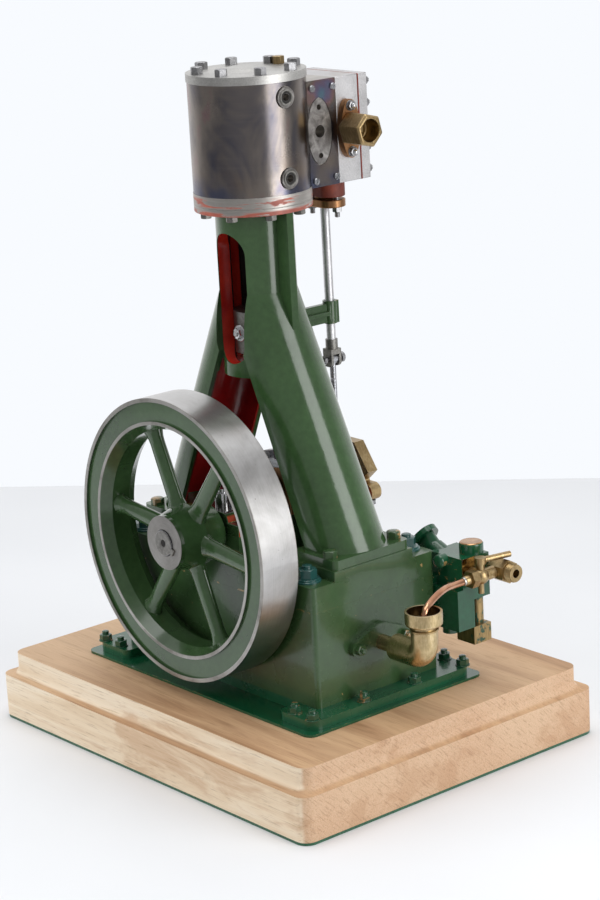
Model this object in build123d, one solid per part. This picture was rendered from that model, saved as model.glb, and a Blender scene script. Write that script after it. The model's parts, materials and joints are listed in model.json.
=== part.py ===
"""Model vertical stationary steam engine on a wooden plinth.

One STEP file per subcomponent, millimetres, +Z up, origin at the centre of the plinth's underside.
The flywheel is on the -Y side, the steam inlet and the return cup face +X, the valve gear is on +Y.
"""
import os
from math import asin, cos, degrees, radians, sin, sqrt

from build123d import *

os.makedirs("parts", exist_ok=True)

# Clearances
run_gap = 0.3
seat_gap = 0.15
turn_gap = 0.5
cut_past = 1.0
weld_lap = 1.0

# Plinth and drip tray
plinth_x = 309.0
plinth_y = 240.0
plinth_corner = 8.0
felt_t = 1.8
felt_inset = 0.2
slab_h = 28.0
step_h = 14.5
plinth_inset = 6.6
cove_r = 5.5
tray_rim_x = 4.0
tray_rim_y = 5.7
tray_t = 1.6
tray_corner = 6.0

# Engine centre line
engine_x = 2.65
engine_y = -9.0

# Base box and soleplate
box_x = 190.7
box_y = 98.4
box_wall = 6.0
box_corner = 3.0
flange_out_x = 13.15
flange_out_y = 16.3
flange_t = 5.8
flange_corner = 8.0
foot_pad_len = 32.0
foot_pad_round = 5.0
sole_t = 15.6
pad_h = 6.1
pad_len = 43.35
pad_margin = 1.2
well_room = 20.0
well_edge = 1.0

# Crank train
crank_rise = 18.0
throw = 25.0
crank_angle = 40.0
shaft_r = 8.0
shaft_nose = 0.8
shaft_tail = 2.5
pin_r = 7.5
web_t = 9.0
web_gap = 5.0
web_wall = 4.5
pin_wall = 4.0

# Main bearings
bearing_len = 21.5
bearing_inset = 0.7
bush_wall = 2.3
cap_wall = 6.7
cap_crown = 2.7
ear_w = 10.0
ear_t = 7.0
cap_round = 5.0
oil_cup_r = 5.2
oil_cup_h = 8.5
oil_lid_step = 2.0
oil_lid_h = 2.5

# Flywheel
wheel_r = 89.0
wheel_w = 27.0
wheel_clear = 5.2
rim_h = 16.6
rim_ring_out = 2.5
rim_ring_in = 2.1
rim_recess = 1.6
rim_bead = 4.0
rim_bead_slope = 7.0
hub_wall = 9.0
hub_swell = 4.0
hub_len = 34.5
hub_gap = 1.3
hub_tail = 3.1
hub_face = 3.0
spoke_count = 6
spoke_phase = 53.5
spoke_w_hub = 12.5
spoke_w_rim = 10.5
spoke_t = 8.0
spoke_flare = 4.0
spoke_flare_len = 9.0

# Column
trunk_bore = 16.5
trunk_wall = 7.5
trunk_drop = 52.0
trunk_rise = 49.7
slot_half = 13.5
slot_foot = 8.0
slot_head = 12.7
leg_h = 150.0
leg_wall = 4.5
leg_edge = 5.0
leg_flare = 2.0
foot_t = 6.0
foot_len = 38.75
foot_margin = 4.2
foot_edge = 0.85
foot_inset = 0.6
foot_corner = 4.0
rib_reach = 10.0
rib_t = 5.0
rib_drop = 60.0

# Cylinder
clad_r = 36.0
clad_t = 1.2
clad_h = 67.0
clad_hole_gap = 0.5
bottom_lip = 0.2
bottom_cover_t = 4.5
stuffing_r = 15.0
stuffing_len = 11.0
gland_r = 11.0
gland_t = 5.0
cyl_flange_t = 6.8
bore_r = 25.0
top_lip = 0.5
top_cover_t = 5.0
top_boss_r = 19.0
top_boss_h = 1.8
top_boss_slope = 8.0
plug_ring_r = 29.5
plug_turn = 98.5
plug_af = 6.8
cover_plug_h = 4.7
drain_r = 6.3
drain_stand = 0.6
drain_hole_r = 2.3
drain_hole_depth = 9.0
drain_low = 9.4
drain_high = 9.2

# Port block and steam chest
block_half = 25.0
block_drop = 1.7
block_low = 3.9
chest_depth = 18.0
chest_wall = 6.0
gasket_t = 0.8
chest_cover_t = 6.6
exhaust_in = 13.8
exhaust_rise = 33.7
exhaust_half_y = 9.4
exhaust_half_z = 20.0
exhaust_bore_r = 3.8
exhaust_depth = 14.0
exhaust_stud_z = 14.7
exhaust_stud_r = 1.7
exhaust_stud_depth = 7.0
inlet_back = 7.3
inlet_rise = 33.0
inlet_half_y = 7.4
inlet_half_z = 18.0
inlet_flange_t = 4.6
union_af = 18.6
union_turn = 45.0
union_len = 18.0
union_bore_r = 7.0
union_bore_depth = 12.0
union_edge = 1.2
inlet_port_r = 3.4

# Valve gear
ecc_gap = 3.3
ecc_t = 8.0
ecc_throw = 6.0
ecc_r = 20.0
sheave_in = 0.3
sheave_hub_wall = 4.0
sheave_hub_gap = 1.0
strap_wall = 6.5
lug_out = 4.5
lug_r = 5.5
strap_top_in = 5.1
strap_top_rise = 4.6
strap_corner_out = 7.1
strap_corner_rise = 13.6
strap_neck_in = 1.5
strap_neck_rise = 6.1
ecc_rod_r = 2.0
ecc_rod_len = 37.5
eye_shank = 12.5
eye_r = 3.4
eye_gap = 0.2
fork_drop = 4.6
fork_h = 11.6
fork_bridge = 3.6
fork_half = 4.1
fork_slot = 2.3
fork_pin_r = 1.6
fork_pin_end = 2.0
fork_round = 3.2
collar_h = 6.0
collar_r = 3.9
valve_back = 8.0
valve_r = 2.9
valve_rod_in = 18.0
gland_body_half = 15.5
gland_body_w = 8.8
gland_body_t = 10.8
gland_gap = 1.7
gland_nose_step = 3.0
gland_plate_t = 4.8
guide_rise = 10.5
guide_h = 14.5
guide_wall = 1.6
guide_cheek = 3.4
guide_back = 4.6
guide_web = 3.4
guide_arm = 3.6
guide_rib_rise = 5.5
guide_rib_t = 2.6
guide_pad_half = 6.6
guide_arm_low = 0.8
guide_arm_high = 1.6
guide_pad_t = 4.5
guide_pad_low = 16.0
guide_pad_high = 6.0

# Running gear
con_len = 100.2
cross_half = 13.0
cross_pin_r = 5.0
cross_pin_in = 2.0
piston_rod_r = 5.0
small_end_wall = 4.0
small_end_half = 6.0
small_end_room = 1.0
con_rod_r = 4.6
big_side = 8.5
big_rise = 7.5
big_gap = 1.5
palm_t = 5.0
palm_shank = 20.0

# Return elbow and cup
return_drop = 29.5
return_reach = 42.5
return_flange_half_y = 23.5
return_flange_half_z = 12.0
return_flange_t = 4.0
return_ear_r = 5.0
return_pipe_r = 8.2
return_stub_r = 4.8
return_stub_len = 13.0
return_bend = 8.7
return_wall = 2.0
cup_r = 11.4
cup_wall = 1.4
cup_rise = 20.0
cup_h = 8.6
cup_floor_t = 2.6
cup_round = 1.6
cup_neck_r = 7.2
cup_neck_h = 2.2

# Feed pump
pump_lap = 8.5
pump_len = 28.5
pump_gap = 4.8
pump_w = 22.5
pump_drop = 3.3
pump_high_h = 27.6
pump_low_h = 18.0
pump_ledge = 19.5
pump_low_w = 9.0
pump_pad_low = 7.0
pump_pad_high = 14.6
pump_cap_in_x = 8.0
pump_cap_in_y = 7.0
pump_cap_r = 7.6
pump_cap_h = 7.0
pump_cap_round = 1.6
plug_in = 12.5
plug_down = 3.2
plug_r = 4.4
plug_h = 4.5
branch_in = 11.0
branch_sink = 3.0
branch_down = 7.0
branch_r = 6.4
branch_rise = 22.0
branch_len = 21.0
branch_flange_half = 12.0
branch_flange_t = 3.5
branch_flange_tilt = 18.0
branch_flange_w = 9.2
branch_pipe_r = 5.6
branch_boss_len = 11.0
branch_cone = 9.0
branch_hole_r = 1.3
branch_hole_in = 3.0
foot_block_x = 15.5
foot_block_h = 11.5
neck_in_x = 7.0
neck_in_y = 4.9
neck_r = 4.0
drain_plug_in_x = 15.0
drain_plug_in_y = 2.5
drain_plug_r = 5.2
drain_plug_h = 4.6

# Bypass valve, delivery and bypass pipe
valve_out = 8.0
bypass_in = 7.5
valve_down = 10.3
valve_body_r = 5.2
valve_stub_r = 4.0
stem_r = 2.6
stem_rise = 7.7
tail_r = 1.9
tail_drop = 11.0
lever_h = 4.0
lever_hub_r = 3.6
lever_r = 1.9
lever_len = 21.5
lever_rest = 12.0
pipe_nut_af = 10.0
pipe_nut_end = 10.0
pipe_nut_lap = 0.5
pipe_seat = 3.0
pipe_lead = 4.0
pipe_swing = 6.5
pipe_swing_y = 22.0
pipe_crest = 1.5
pipe_fall_x = 3.0
pipe_fall_y = 8.0
pipe_fall_z = 1.0
pipe_dip = 5.0
bypass_r = 2.2
outlet_in_x = 5.0
outlet_len_x = 13.0
outlet_gap_y = 10.5
outlet_len_y = 13.0
nozzle_len = 5.5
nozzle_r = 5.4
outlet_bore_r = 2.7
outlet_bore_depth = 9.0

# Radii that follow from the sizes
rim_in_r = wheel_r - rim_h
hub_r = shaft_r + hub_wall
bush_r = shaft_r + bush_wall
cap_half = bush_r + cap_wall
cap_top = bush_r + cap_crown
pedestal_half = cap_half + ear_w
trunk_r = trunk_bore + trunk_wall
leg_foot_r = trunk_r + leg_flare
rib_out = trunk_r + rib_reach
strap_r = ecc_r + strap_wall
small_end_r = cross_pin_r + small_end_wall
guide_r = valve_r + guide_wall
cover_r = clad_r + bottom_lip
top_cover_r = clad_r + top_lip
drain_face = clad_r + drain_stand
cup_bore_r = cup_r - cup_wall

# Heights of the base, from the plinth up; the box is as high as the flywheel needs
slab_top = felt_t + slab_h
plinth_top = slab_top + step_h
tray_top = plinth_top + tray_t
flange_top = tray_top + flange_t
crank_z = flange_top + wheel_clear + wheel_r
sole_top = crank_z - crank_rise
box_top = sole_top - sole_t
pad_top = sole_top + pad_h
pin_x = engine_x + throw * sin(radians(crank_angle))
pin_z = crank_z + throw * cos(radians(crank_angle))
ecc_z = crank_z + ecc_throw

# Plan of the base
flange_x = box_x + 2 * flange_out_x
flange_y = box_y + 2 * flange_out_y
tray_x = flange_x + 2 * tray_rim_x
tray_y = flange_y + 2 * tray_rim_y
box_x1 = engine_x + box_x / 2
box_y0 = engine_y - box_y / 2
box_y1 = engine_y + box_y / 2
foot_half_y = leg_foot_r + foot_margin
pad_half_y = foot_half_y + pad_margin
bearing_out = box_y / 2 - bearing_inset
bearing_in = bearing_out - bearing_len
well_half_x = throw + well_room
well_half_y = bearing_in - well_edge

# Crankshaft and flywheel along Y
web_out = bearing_in - web_gap
web_in = web_out - web_t
hub_back = box_y0 - hub_gap
hub_front = hub_back - hub_len
wheel_back = hub_back - hub_tail
wheel_front = wheel_back - wheel_w
shaft_front = hub_front - shaft_nose
valve_y = box_y1 + ecc_gap + ecc_t / 2
ecc_front = valve_y - ecc_t / 2
ecc_back = valve_y + ecc_t / 2
shaft_rear = ecc_back + shaft_tail

# Column, from its feet up
foot_top = pad_top + foot_t
leg_top = foot_top + leg_h
leg_spread = box_x / 2 - foot_inset - foot_edge - leg_foot_r
trunk_bottom = leg_top - trunk_drop
trunk_top = leg_top + trunk_rise
slot_bottom = trunk_bottom + slot_foot
slot_top = trunk_top - slot_head

# Cylinder and chest, from the trunk up
stuffing_bottom = trunk_top - stuffing_len
bottom_cover_top = trunk_top + bottom_cover_t
cyl_flange_top = bottom_cover_top + cyl_flange_t
clad_top = cyl_flange_top + clad_h
top_cover_top = clad_top + top_cover_t
top_boss_top = top_cover_top + top_boss_h
drain_z_low = cyl_flange_top + drain_low
drain_z_high = clad_top - drain_high
block_bottom = cyl_flange_top - block_drop
block_top = clad_top - block_low
block_back = valve_y - valve_back
chest_back = block_back + chest_depth
gasket_back = chest_back + gasket_t
cover_back = gasket_back + chest_cover_t
exhaust_y = block_back - exhaust_in
exhaust_z = block_bottom + exhaust_rise
inlet_y = block_back + inlet_back
inlet_z = block_bottom + inlet_rise

# Valve gear, from the eccentric up
strap_top_x = strap_r - strap_top_in
strap_top_z = ecc_z + strap_r + strap_top_rise
strap_corner_x = strap_r + strap_corner_out
strap_corner_z = ecc_z + strap_corner_rise
strap_neck_x = strap_r - strap_neck_in
strap_neck_z = ecc_z + strap_neck_rise
lug_x = strap_r + lug_out
eye_foot = strap_top_z + ecc_rod_len + turn_gap
fork_pin_z = eye_foot + eye_shank
fork_bottom = fork_pin_z - fork_drop
fork_top = fork_bottom + fork_h
fork_slot_top = fork_top - fork_bridge
collar_top = fork_top + collar_h
guide_bottom = collar_top + guide_rise
guide_top = guide_bottom + guide_h
gland_body_bottom = block_bottom - gland_body_t
gland_plate_top = gland_body_bottom - gland_gap
gland_plate_bottom = gland_plate_top - gland_plate_t

# Running gear, measured along the connecting rod from the crankpin
big_half_x = pin_r + big_side
big_half_y = web_in - big_gap
big_half_z = pin_r + big_rise
palm_top = big_half_z + palm_t
rod_tilt = degrees(asin(throw * sin(radians(crank_angle)) / con_len))
split_reach = (palm_top + palm_shank) * cos(radians(crank_angle + rod_tilt))
cross_z = pin_z + sqrt(con_len**2 - (pin_x - engine_x)**2)
cross_bottom = cross_z - cross_half
cross_top = cross_z + cross_half

# Return elbow, from the box's wall out
return_z = box_top - return_drop
return_axis_x = box_x1 + return_reach
cup_bottom = return_z + cup_rise
cup_top = cup_bottom + cup_h
cup_floor = cup_bottom + cup_floor_t

# Feed pump and its fittings, from the box's corner out
pump_x0 = box_x1 - pump_lap
pump_x1 = pump_x0 + pump_len
pump_y0 = box_y1 + pump_gap
pump_y1 = pump_y0 + pump_w
pump_low_y1 = pump_y0 + pump_low_w
pump_top = sole_top - pump_drop
pump_step = pump_top - pump_high_h
pump_bottom = pump_step - pump_low_h
pump_pad_bottom = pump_bottom + pump_pad_low
pump_pad_top = pump_top - pump_pad_high
pump_cap_x = pump_x1 - pump_cap_in_x
pump_cap_y = pump_y1 - pump_cap_in_y
plug_x = pump_x0 + plug_in
plug_z = pump_top - plug_down
branch_y = pump_y0 + branch_in
branch_z = pump_top - branch_down
foot_block_bottom = pump_bottom - foot_block_h
neck_x = pump_x1 - neck_in_x
neck_y = pump_y1 - neck_in_y
bypass_y = pump_y0 + bypass_in
valve_x = pump_x1 + valve_out
valve_z = pump_top - valve_down
stem_top = valve_z + stem_rise
outlet_x0 = valve_x - outlet_in_x
outlet_x1 = outlet_x0 + outlet_len_x
outlet_y0 = bypass_y + outlet_gap_y
outlet_y1 = outlet_y0 + outlet_len_y
outlet_end = outlet_x1 + nozzle_len

def between(x0, x1, y0, y1, z0, z1):
    """Block given by its limits."""
    return Pos((x0 + x1) / 2, (y0 + y1) / 2, (z0 + z1) / 2) * Box(x1 - x0, y1 - y0, z1 - z0)


def rod_x(x0, x1, y, z, r):
    """Round bar along X."""
    return Pos((x0 + x1) / 2, y, z) * Rot(0, 90, 0) * Cylinder(r, x1 - x0)


def rod_y(y0, y1, x, z, r):
    """Round bar along Y."""
    return Pos(x, (y0 + y1) / 2, z) * Rot(90, 0, 0) * Cylinder(r, y1 - y0)


def rod_z(z0, z1, x, y, r):
    """Round bar along Z."""
    return Pos(x, y, (z0 + z1) / 2) * Cylinder(r, z1 - z0)


def slab(x, y, z0, z1, wide, deep, corner):
    """Flat plate with rounded vertical corners."""
    return Pos(x, y, z0) * extrude(RectangleRounded(wide, deep, corner), z1 - z0)


def prism_y(sketch, y0, y1):
    """Extrude a sketch drawn in X and Z from y0 to y1."""
    return Pos(0, y1, 0) * Rot(90, 0, 0) * extrude(sketch, y1 - y0)


def prism_x(sketch, x0, x1):
    """Extrude a sketch drawn in Y and Z from x0 to x1."""
    return extrude(Plane.YZ.offset(x0) * sketch, x1 - x0)


def link(x0, z0, r0, x1, z1, r1):
    """Outline of two circles joined by straight sides."""
    return make_hull((Pos(x0, z0) * Circle(r0)).edges() + (Pos(x1, z1) * Circle(r1)).edges())


def save(name, shape):
    """Write one subcomponent."""
    export_step(shape, f"parts/{name}.step")


# Plinth
felt = slab(0, 0, 0, felt_t, plinth_x - 2 * felt_inset, plinth_y - 2 * felt_inset, plinth_corner)
save("base_felt", felt)

plinth = slab(0, 0, felt_t, slab_top, plinth_x, plinth_y, plinth_corner)
plinth += slab(0, 0, slab_top, plinth_top, plinth_x - 2 * plinth_inset, plinth_y - 2 * plinth_inset,
               plinth_corner)
step_edges = [
    e for e in plinth.edges().filter_by_position(Axis.Z, slab_top - 0.01, slab_top + 0.01)
    if abs(e.center().X) < plinth_x / 2 - plinth_inset + 0.1
    and abs(e.center().Y) < plinth_y / 2 - plinth_inset + 0.1
]
plinth = fillet(step_edges, cove_r)
save("wood_plinth", plinth)

save("drip_tray", slab(engine_x, engine_y, plinth_top, tray_top, tray_x, tray_y, tray_corner))

# Base box with its foot flange, open above and below; only corner pads on the flywheel's side
box = slab(engine_x, engine_y, tray_top, flange_top, flange_x, flange_y, flange_corner)
pad_gap = flange_x / 2 - foot_pad_len
flange_y0 = engine_y - flange_y / 2
box -= between(engine_x - pad_gap, engine_x + pad_gap, flange_y0 - cut_past, engine_y - box_y / 2,
               tray_top, flange_top)
pad_ends = box.edges().filter_by(Axis.Z).filter_by_position(Axis.Y, flange_y0 - weld_lap, flange_y0 + weld_lap)
pad_ends = pad_ends.filter_by_position(Axis.X, engine_x - pad_gap - weld_lap, engine_x + pad_gap + weld_lap)
box = fillet(pad_ends, foot_pad_round)
box += slab(engine_x, engine_y, flange_top, box_top, box_x, box_y, box_corner)
box -= slab(engine_x, engine_y, tray_top - cut_past, box_top + cut_past, box_x - 2 * box_wall,
            box_y - 2 * box_wall, box_corner)
box -= rod_x(box_x1 - box_wall - cut_past, box_x1 + cut_past, engine_y, return_z,
             return_stub_r - return_wall)
save("base_box", box)

# Soleplate with crank well, column pads and bearing pedestals
sole = slab(engine_x, engine_y, box_top, sole_top, box_x, box_y, box_corner)
pad_x1 = box_x1
pad_x0 = pad_x1 - pad_len
sole += between(pad_x0, pad_x1, engine_y - pad_half_y, engine_y + pad_half_y, sole_top, pad_top)
sole += between(2 * engine_x - pad_x1, 2 * engine_x - pad_x0, engine_y - pad_half_y,
                engine_y + pad_half_y, sole_top, pad_top)
for sign in (-1, 1):
    y_a = engine_y + sign * bearing_in
    y_b = engine_y + sign * bearing_out
    sole += between(engine_x - pedestal_half, engine_x + pedestal_half, min(y_a, y_b), max(y_a, y_b),
                    sole_top, crank_z)
sole -= between(engine_x - well_half_x, engine_x + well_half_x, engine_y - well_half_y,
                engine_y + well_half_y, box_top - cut_past, sole_top + cut_past)
sole -= rod_y(engine_y - bearing_out - cut_past, engine_y + bearing_out + cut_past, engine_x, crank_z,
              bush_r + seat_gap)
save("soleplate", sole)

# Main bearings
cap_z = crank_z + cap_top
for name, sign in (("front", -1), ("rear", 1)):
    y_a = min(engine_y + sign * bearing_in, engine_y + sign * bearing_out)
    y_b = max(engine_y + sign * bearing_in, engine_y + sign * bearing_out)
    crown = between(engine_x - cap_half, engine_x + cap_half, y_a, y_b, crank_z, cap_z)
    crown = fillet(crown.edges().filter_by(Axis.Y).group_by(Axis.Z)[-1], cap_round)
    ears = between(engine_x - pedestal_half, engine_x + pedestal_half, y_a, y_b, crank_z,
                   crank_z + ear_t)
    cap = crown + ears
    cap -= rod_y(y_a - cut_past, y_b + cut_past, engine_x, crank_z, bush_r + seat_gap)
    save(f"{name}_bearing_cap", cap)
    bush = rod_y(y_a, y_b, engine_x, crank_z, bush_r)
    bush -= rod_y(y_a - cut_past, y_b + cut_past, engine_x, crank_z, shaft_r + run_gap)
    save(f"{name}_bearing_bush", bush)
    cup_y = (y_a + y_b) / 2
    lid_z = cap_z + oil_cup_h
    oil_cup = rod_z(cap_z, lid_z, engine_x, cup_y, oil_cup_r)
    oil_cup += rod_z(lid_z, lid_z + oil_lid_h, engine_x, cup_y, oil_cup_r - oil_lid_step)
    save(f"{name}_oil_cup", oil_cup)


# Column: bored trunk on two half-round channel legs
def leg_section(radius, edge):
    """Channel section, open towards the engine centre line."""
    outline = [
        Line((-edge, -radius), (0, -radius)),
        ThreePointArc((0, -radius), (radius, 0), (0, radius)),
        Line((0, radius), (-edge, radius)),
        Line((-edge, radius), (-edge, -radius)),
    ]
    return make_face(outline)


def leg_solid(wall, edge, below, above):
    """Loft the leg between two heights, pulled in by the wall."""
    slope = leg_spread / leg_h
    grow = leg_flare / leg_h
    sections = []
    for z in (above, below):
        fall = leg_top - z
        place = Pos(engine_x + slope * fall, engine_y, z)
        sections.append(place * leg_section(trunk_r + grow * fall - wall, edge))
    return loft(sections)


def mirrored(shape):
    """Copy on the other side of the engine centre line."""
    return mirror(shape, about=Plane(origin=(engine_x, 0, 0), z_dir=(1, 0, 0)))


leg = leg_solid(0, leg_edge, foot_top, leg_top)
leg -= leg_solid(leg_wall, leg_foot_r, foot_top - foot_t, leg_top + foot_t)
foot = slab(box_x1 - foot_inset - foot_len / 2, engine_y, pad_top, foot_top, foot_len, 2 * foot_half_y,
            foot_corner)
rib = between(engine_x + trunk_bore + weld_lap, engine_x + rib_out, engine_y - rib_t / 2,
              engine_y + rib_t / 2, leg_top - rib_drop, trunk_top)
rib -= leg_solid(leg_wall / 2, 2 * leg_spread, foot_top - foot_t, leg_top)
side = leg + foot + rib
column = rod_z(trunk_bottom, trunk_top, engine_x, engine_y, trunk_r)
column += side
column += mirrored(side)
column -= rod_z(trunk_bottom - cut_past, trunk_top + cut_past, engine_x, engine_y, trunk_bore)
slot_y = engine_y - trunk_r - cut_past
slot = between(engine_x - slot_half, engine_x + slot_half, slot_y, engine_y, slot_bottom + slot_half,
               slot_top - slot_half)
slot += rod_y(slot_y, engine_y, engine_x, slot_bottom + slot_half, slot_half)
slot += rod_y(slot_y, engine_y, engine_x, slot_top - slot_half, slot_half)
column -= slot
save("column", column)

# Cylinder group
bottom_cover = rod_z(trunk_top, bottom_cover_top, engine_x, engine_y, cover_r)
bottom_cover += rod_z(stuffing_bottom, trunk_top, engine_x, engine_y, stuffing_r)
bottom_cover -= rod_z(stuffing_bottom - cut_past, bottom_cover_top + cut_past, engine_x, engine_y,
                      piston_rod_r + seat_gap)
save("cylinder_bottom_cover", bottom_cover)

piston_gland = rod_z(stuffing_bottom - gland_t, stuffing_bottom, engine_x, engine_y, gland_r)
piston_gland -= rod_z(stuffing_bottom - gland_t - cut_past, stuffing_bottom + cut_past, engine_x,
                      engine_y, piston_rod_r + seat_gap)
save("piston_gland", piston_gland)

core_r = clad_r - clad_t - seat_gap
core_half = block_half - clad_t - seat_gap
cylinder = rod_z(bottom_cover_top, cyl_flange_top, engine_x, engine_y, cover_r)
cylinder += rod_z(cyl_flange_top, clad_top, engine_x, engine_y, core_r)
cylinder += between(engine_x - core_half, engine_x + core_half, engine_y, block_back, block_bottom,
                    block_top)
for z in (drain_z_low, drain_z_high):
    cylinder += rod_x(engine_x + bore_r + weld_lap, engine_x + drain_face, engine_y, z, drain_r)
pad_sketch = Pos(exhaust_y, exhaust_z) * Ellipse(exhaust_half_y, exhaust_half_z)
cylinder += prism_x(pad_sketch, engine_x + core_half - weld_lap, engine_x + block_half)
cylinder -= rod_z(bottom_cover_top - cut_past, clad_top + cut_past, engine_x, engine_y, bore_r)
for z in (drain_z_low, drain_z_high):
    cylinder -= rod_x(engine_x + drain_face - drain_hole_depth, engine_x + drain_face + cut_past, engine_y,
                      z, drain_hole_r)
port_face = engine_x + block_half
cylinder -= rod_x(port_face - exhaust_depth, port_face + cut_past, exhaust_y, exhaust_z, exhaust_bore_r)
for sign in (-1, 1):
    cylinder -= rod_x(port_face - exhaust_stud_depth, port_face + cut_past, exhaust_y,
                      exhaust_z + sign * exhaust_stud_z, exhaust_stud_r)
save("cylinder", cylinder)

clad = rod_z(cyl_flange_top, clad_top, engine_x, engine_y, clad_r)
clad += between(engine_x - block_half, engine_x + block_half, engine_y, block_back, block_bottom,
                block_top)
clad -= rod_z(block_bottom - cut_past, clad_top + cut_past, engine_x, engine_y, clad_r - clad_t)
clad -= rod_z(block_bottom - cut_past, cyl_flange_top, engine_x, engine_y, cover_r + seat_gap)
clad -= between(engine_x - block_half + clad_t, engine_x + block_half - clad_t, engine_y,
                block_back + cut_past, block_bottom - cut_past, block_top)
for z in (drain_z_low, drain_z_high):
    clad -= rod_x(engine_x + bore_r, engine_x + drain_face, engine_y, z, drain_r + clad_hole_gap)
clad_hole = Pos(exhaust_y, exhaust_z) * Ellipse(exhaust_half_y + clad_hole_gap,
                                                exhaust_half_z + clad_hole_gap)
clad -= prism_x(clad_hole, port_face - clad_t - cut_past, port_face + cut_past)
save("cylinder_cladding", clad)

top_cover = rod_z(clad_top, top_cover_top, engine_x, engine_y, top_cover_r)
top_cover += Pos(engine_x, engine_y, top_cover_top + top_boss_h / 2) * Cone(
    top_boss_r, top_boss_r - top_boss_slope, top_boss_h)
save("cylinder_top_cover", top_cover)
plug_sketch = Rot(0, 0, plug_turn) * Pos(plug_ring_r, 0) * RegularPolygon(plug_af / 2, 6, major_radius=False)
save("cover_plug", Pos(engine_x, engine_y, top_cover_top) * extrude(plug_sketch, cover_plug_h))

chest = between(engine_x - block_half, engine_x + block_half, block_back, chest_back, block_bottom,
                block_top)
chest -= between(engine_x - block_half + chest_wall, engine_x + block_half - chest_wall,
                 block_back - cut_past, chest_back + cut_past, block_bottom + chest_wall,
                 block_top - chest_wall)
chest -= rod_x(port_face - chest_wall - cut_past, port_face + cut_past, inlet_y, inlet_z, inlet_port_r)
chest -= rod_z(block_bottom - cut_past, block_bottom + chest_wall + cut_past, engine_x, valve_y,
               valve_r + run_gap)
save("steam_chest", chest)

gasket = between(engine_x - block_half, engine_x + block_half, chest_back, gasket_back, block_bottom,
                 block_top)
save("chest_gasket", gasket)
chest_cover = between(engine_x - block_half, engine_x + block_half, gasket_back, cover_back,
                      block_bottom, block_top)
save("chest_cover", chest_cover)

flange_face = port_face + inlet_flange_t
union_end = flange_face + union_len
inlet_sketch = Pos(inlet_y, inlet_z) * Ellipse(inlet_half_y, inlet_half_z)
inlet_flange = prism_x(inlet_sketch, port_face, flange_face)
inlet_flange -= rod_x(port_face - cut_past, flange_face + cut_past, inlet_y, inlet_z, inlet_port_r)
save("steam_inlet_flange", inlet_flange)

hex_sketch = Pos(inlet_y, inlet_z) * RegularPolygon(union_af / 2, 6, major_radius=False,
                                                    rotation=union_turn)
union_nut = prism_x(hex_sketch, flange_face, union_end)
union_nut = chamfer(union_nut.faces().sort_by(Axis.X)[-1].edges(), union_edge)
union_nut -= rod_x(union_end - union_bore_depth, union_end + cut_past, inlet_y, inlet_z, union_bore_r)
union_nut -= rod_x(flange_face - cut_past, union_end, inlet_y, inlet_z, inlet_port_r)
save("steam_inlet_union", union_nut)

# Valve rod, gland, guide and fork
gland_outline = SlotCenterToCenter(2 * (gland_body_half - gland_body_w), 2 * gland_body_w)
valve_hole = rod_z(fork_bottom, block_bottom + chest_wall, engine_x, valve_y, valve_r + seat_gap)
gland_body = Pos(engine_x, valve_y, gland_body_bottom) * extrude(gland_outline,
                                                                 block_bottom - gland_body_bottom)
gland_body -= valve_hole
save("valve_gland_body", gland_body)
gland_plate = Pos(engine_x, valve_y, gland_plate_bottom) * extrude(gland_outline,
                                                                   gland_plate_top - gland_plate_bottom)
gland_plate += rod_z(gland_plate_top, gland_body_bottom, engine_x, valve_y,
                     gland_body_w - gland_nose_step)
gland_plate -= valve_hole
save("valve_gland", gland_plate)

valve_rod = rod_z(fork_top, block_bottom + chest_wall + valve_rod_in, engine_x, valve_y, valve_r)
save("valve_rod", valve_rod)

fork = between(engine_x - fork_half, engine_x + fork_half, valve_y - fork_half, valve_y + fork_half,
               fork_bottom, fork_top)
fork -= between(engine_x - fork_half - cut_past, engine_x + fork_half + cut_past, valve_y - fork_slot,
                valve_y + fork_slot, fork_bottom - cut_past, fork_slot_top)
fork = fillet(fork.edges().filter_by(Axis.Y).group_by(Axis.Z)[0], fork_round)
fork += rod_z(fork_top, collar_top, engine_x, valve_y, collar_r)
fork -= rod_z(fork_top, collar_top + cut_past, engine_x, valve_y, valve_r + seat_gap)
fork -= rod_y(valve_y - fork_half - cut_past, valve_y + fork_half + cut_past, engine_x, fork_pin_z,
              fork_pin_r + seat_gap)
save("valve_fork", fork)
pin_reach = fork_half + fork_pin_end
save("fork_pin", rod_y(valve_y - pin_reach, valve_y + pin_reach, engine_x, fork_pin_z, fork_pin_r))
eye_half = fork_slot - eye_gap
eye = rod_y(valve_y - eye_half, valve_y + eye_half, engine_x, fork_pin_z, eye_r)
eye += rod_z(eye_foot, fork_pin_z, engine_x, valve_y, ecc_rod_r)
eye -= rod_y(valve_y - fork_half, valve_y + fork_half, engine_x, fork_pin_z, fork_pin_r + seat_gap)
save("eccentric_rod_eye", eye)

guide = rod_z(guide_bottom, guide_top, engine_x, valve_y, guide_r)
guide += between(engine_x - guide_cheek, engine_x + guide_cheek, valve_y, valve_y + guide_back, guide_bottom,
                 guide_top)
guide_root = engine_y + trunk_bore + weld_lap
guide += between(engine_x - guide_web / 2, engine_x + guide_web / 2, guide_root, valve_y,
                 guide_bottom + guide_arm_low, guide_top - guide_arm_high)
guide_rib_z = guide_bottom + guide_rib_rise
guide += between(engine_x - guide_arm, engine_x + guide_arm, guide_root, valve_y, guide_rib_z,
                 guide_rib_z + guide_rib_t)
guide += between(engine_x - guide_pad_half, engine_x + guide_pad_half, guide_root,
                 engine_y + trunk_r + guide_pad_t, guide_bottom - guide_pad_low, guide_top + guide_pad_high)
guide -= column
guide -= rod_z(guide_bottom - cut_past, guide_top + cut_past, engine_x, valve_y, valve_r + run_gap)
save("valve_guide_bracket", guide)

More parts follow.
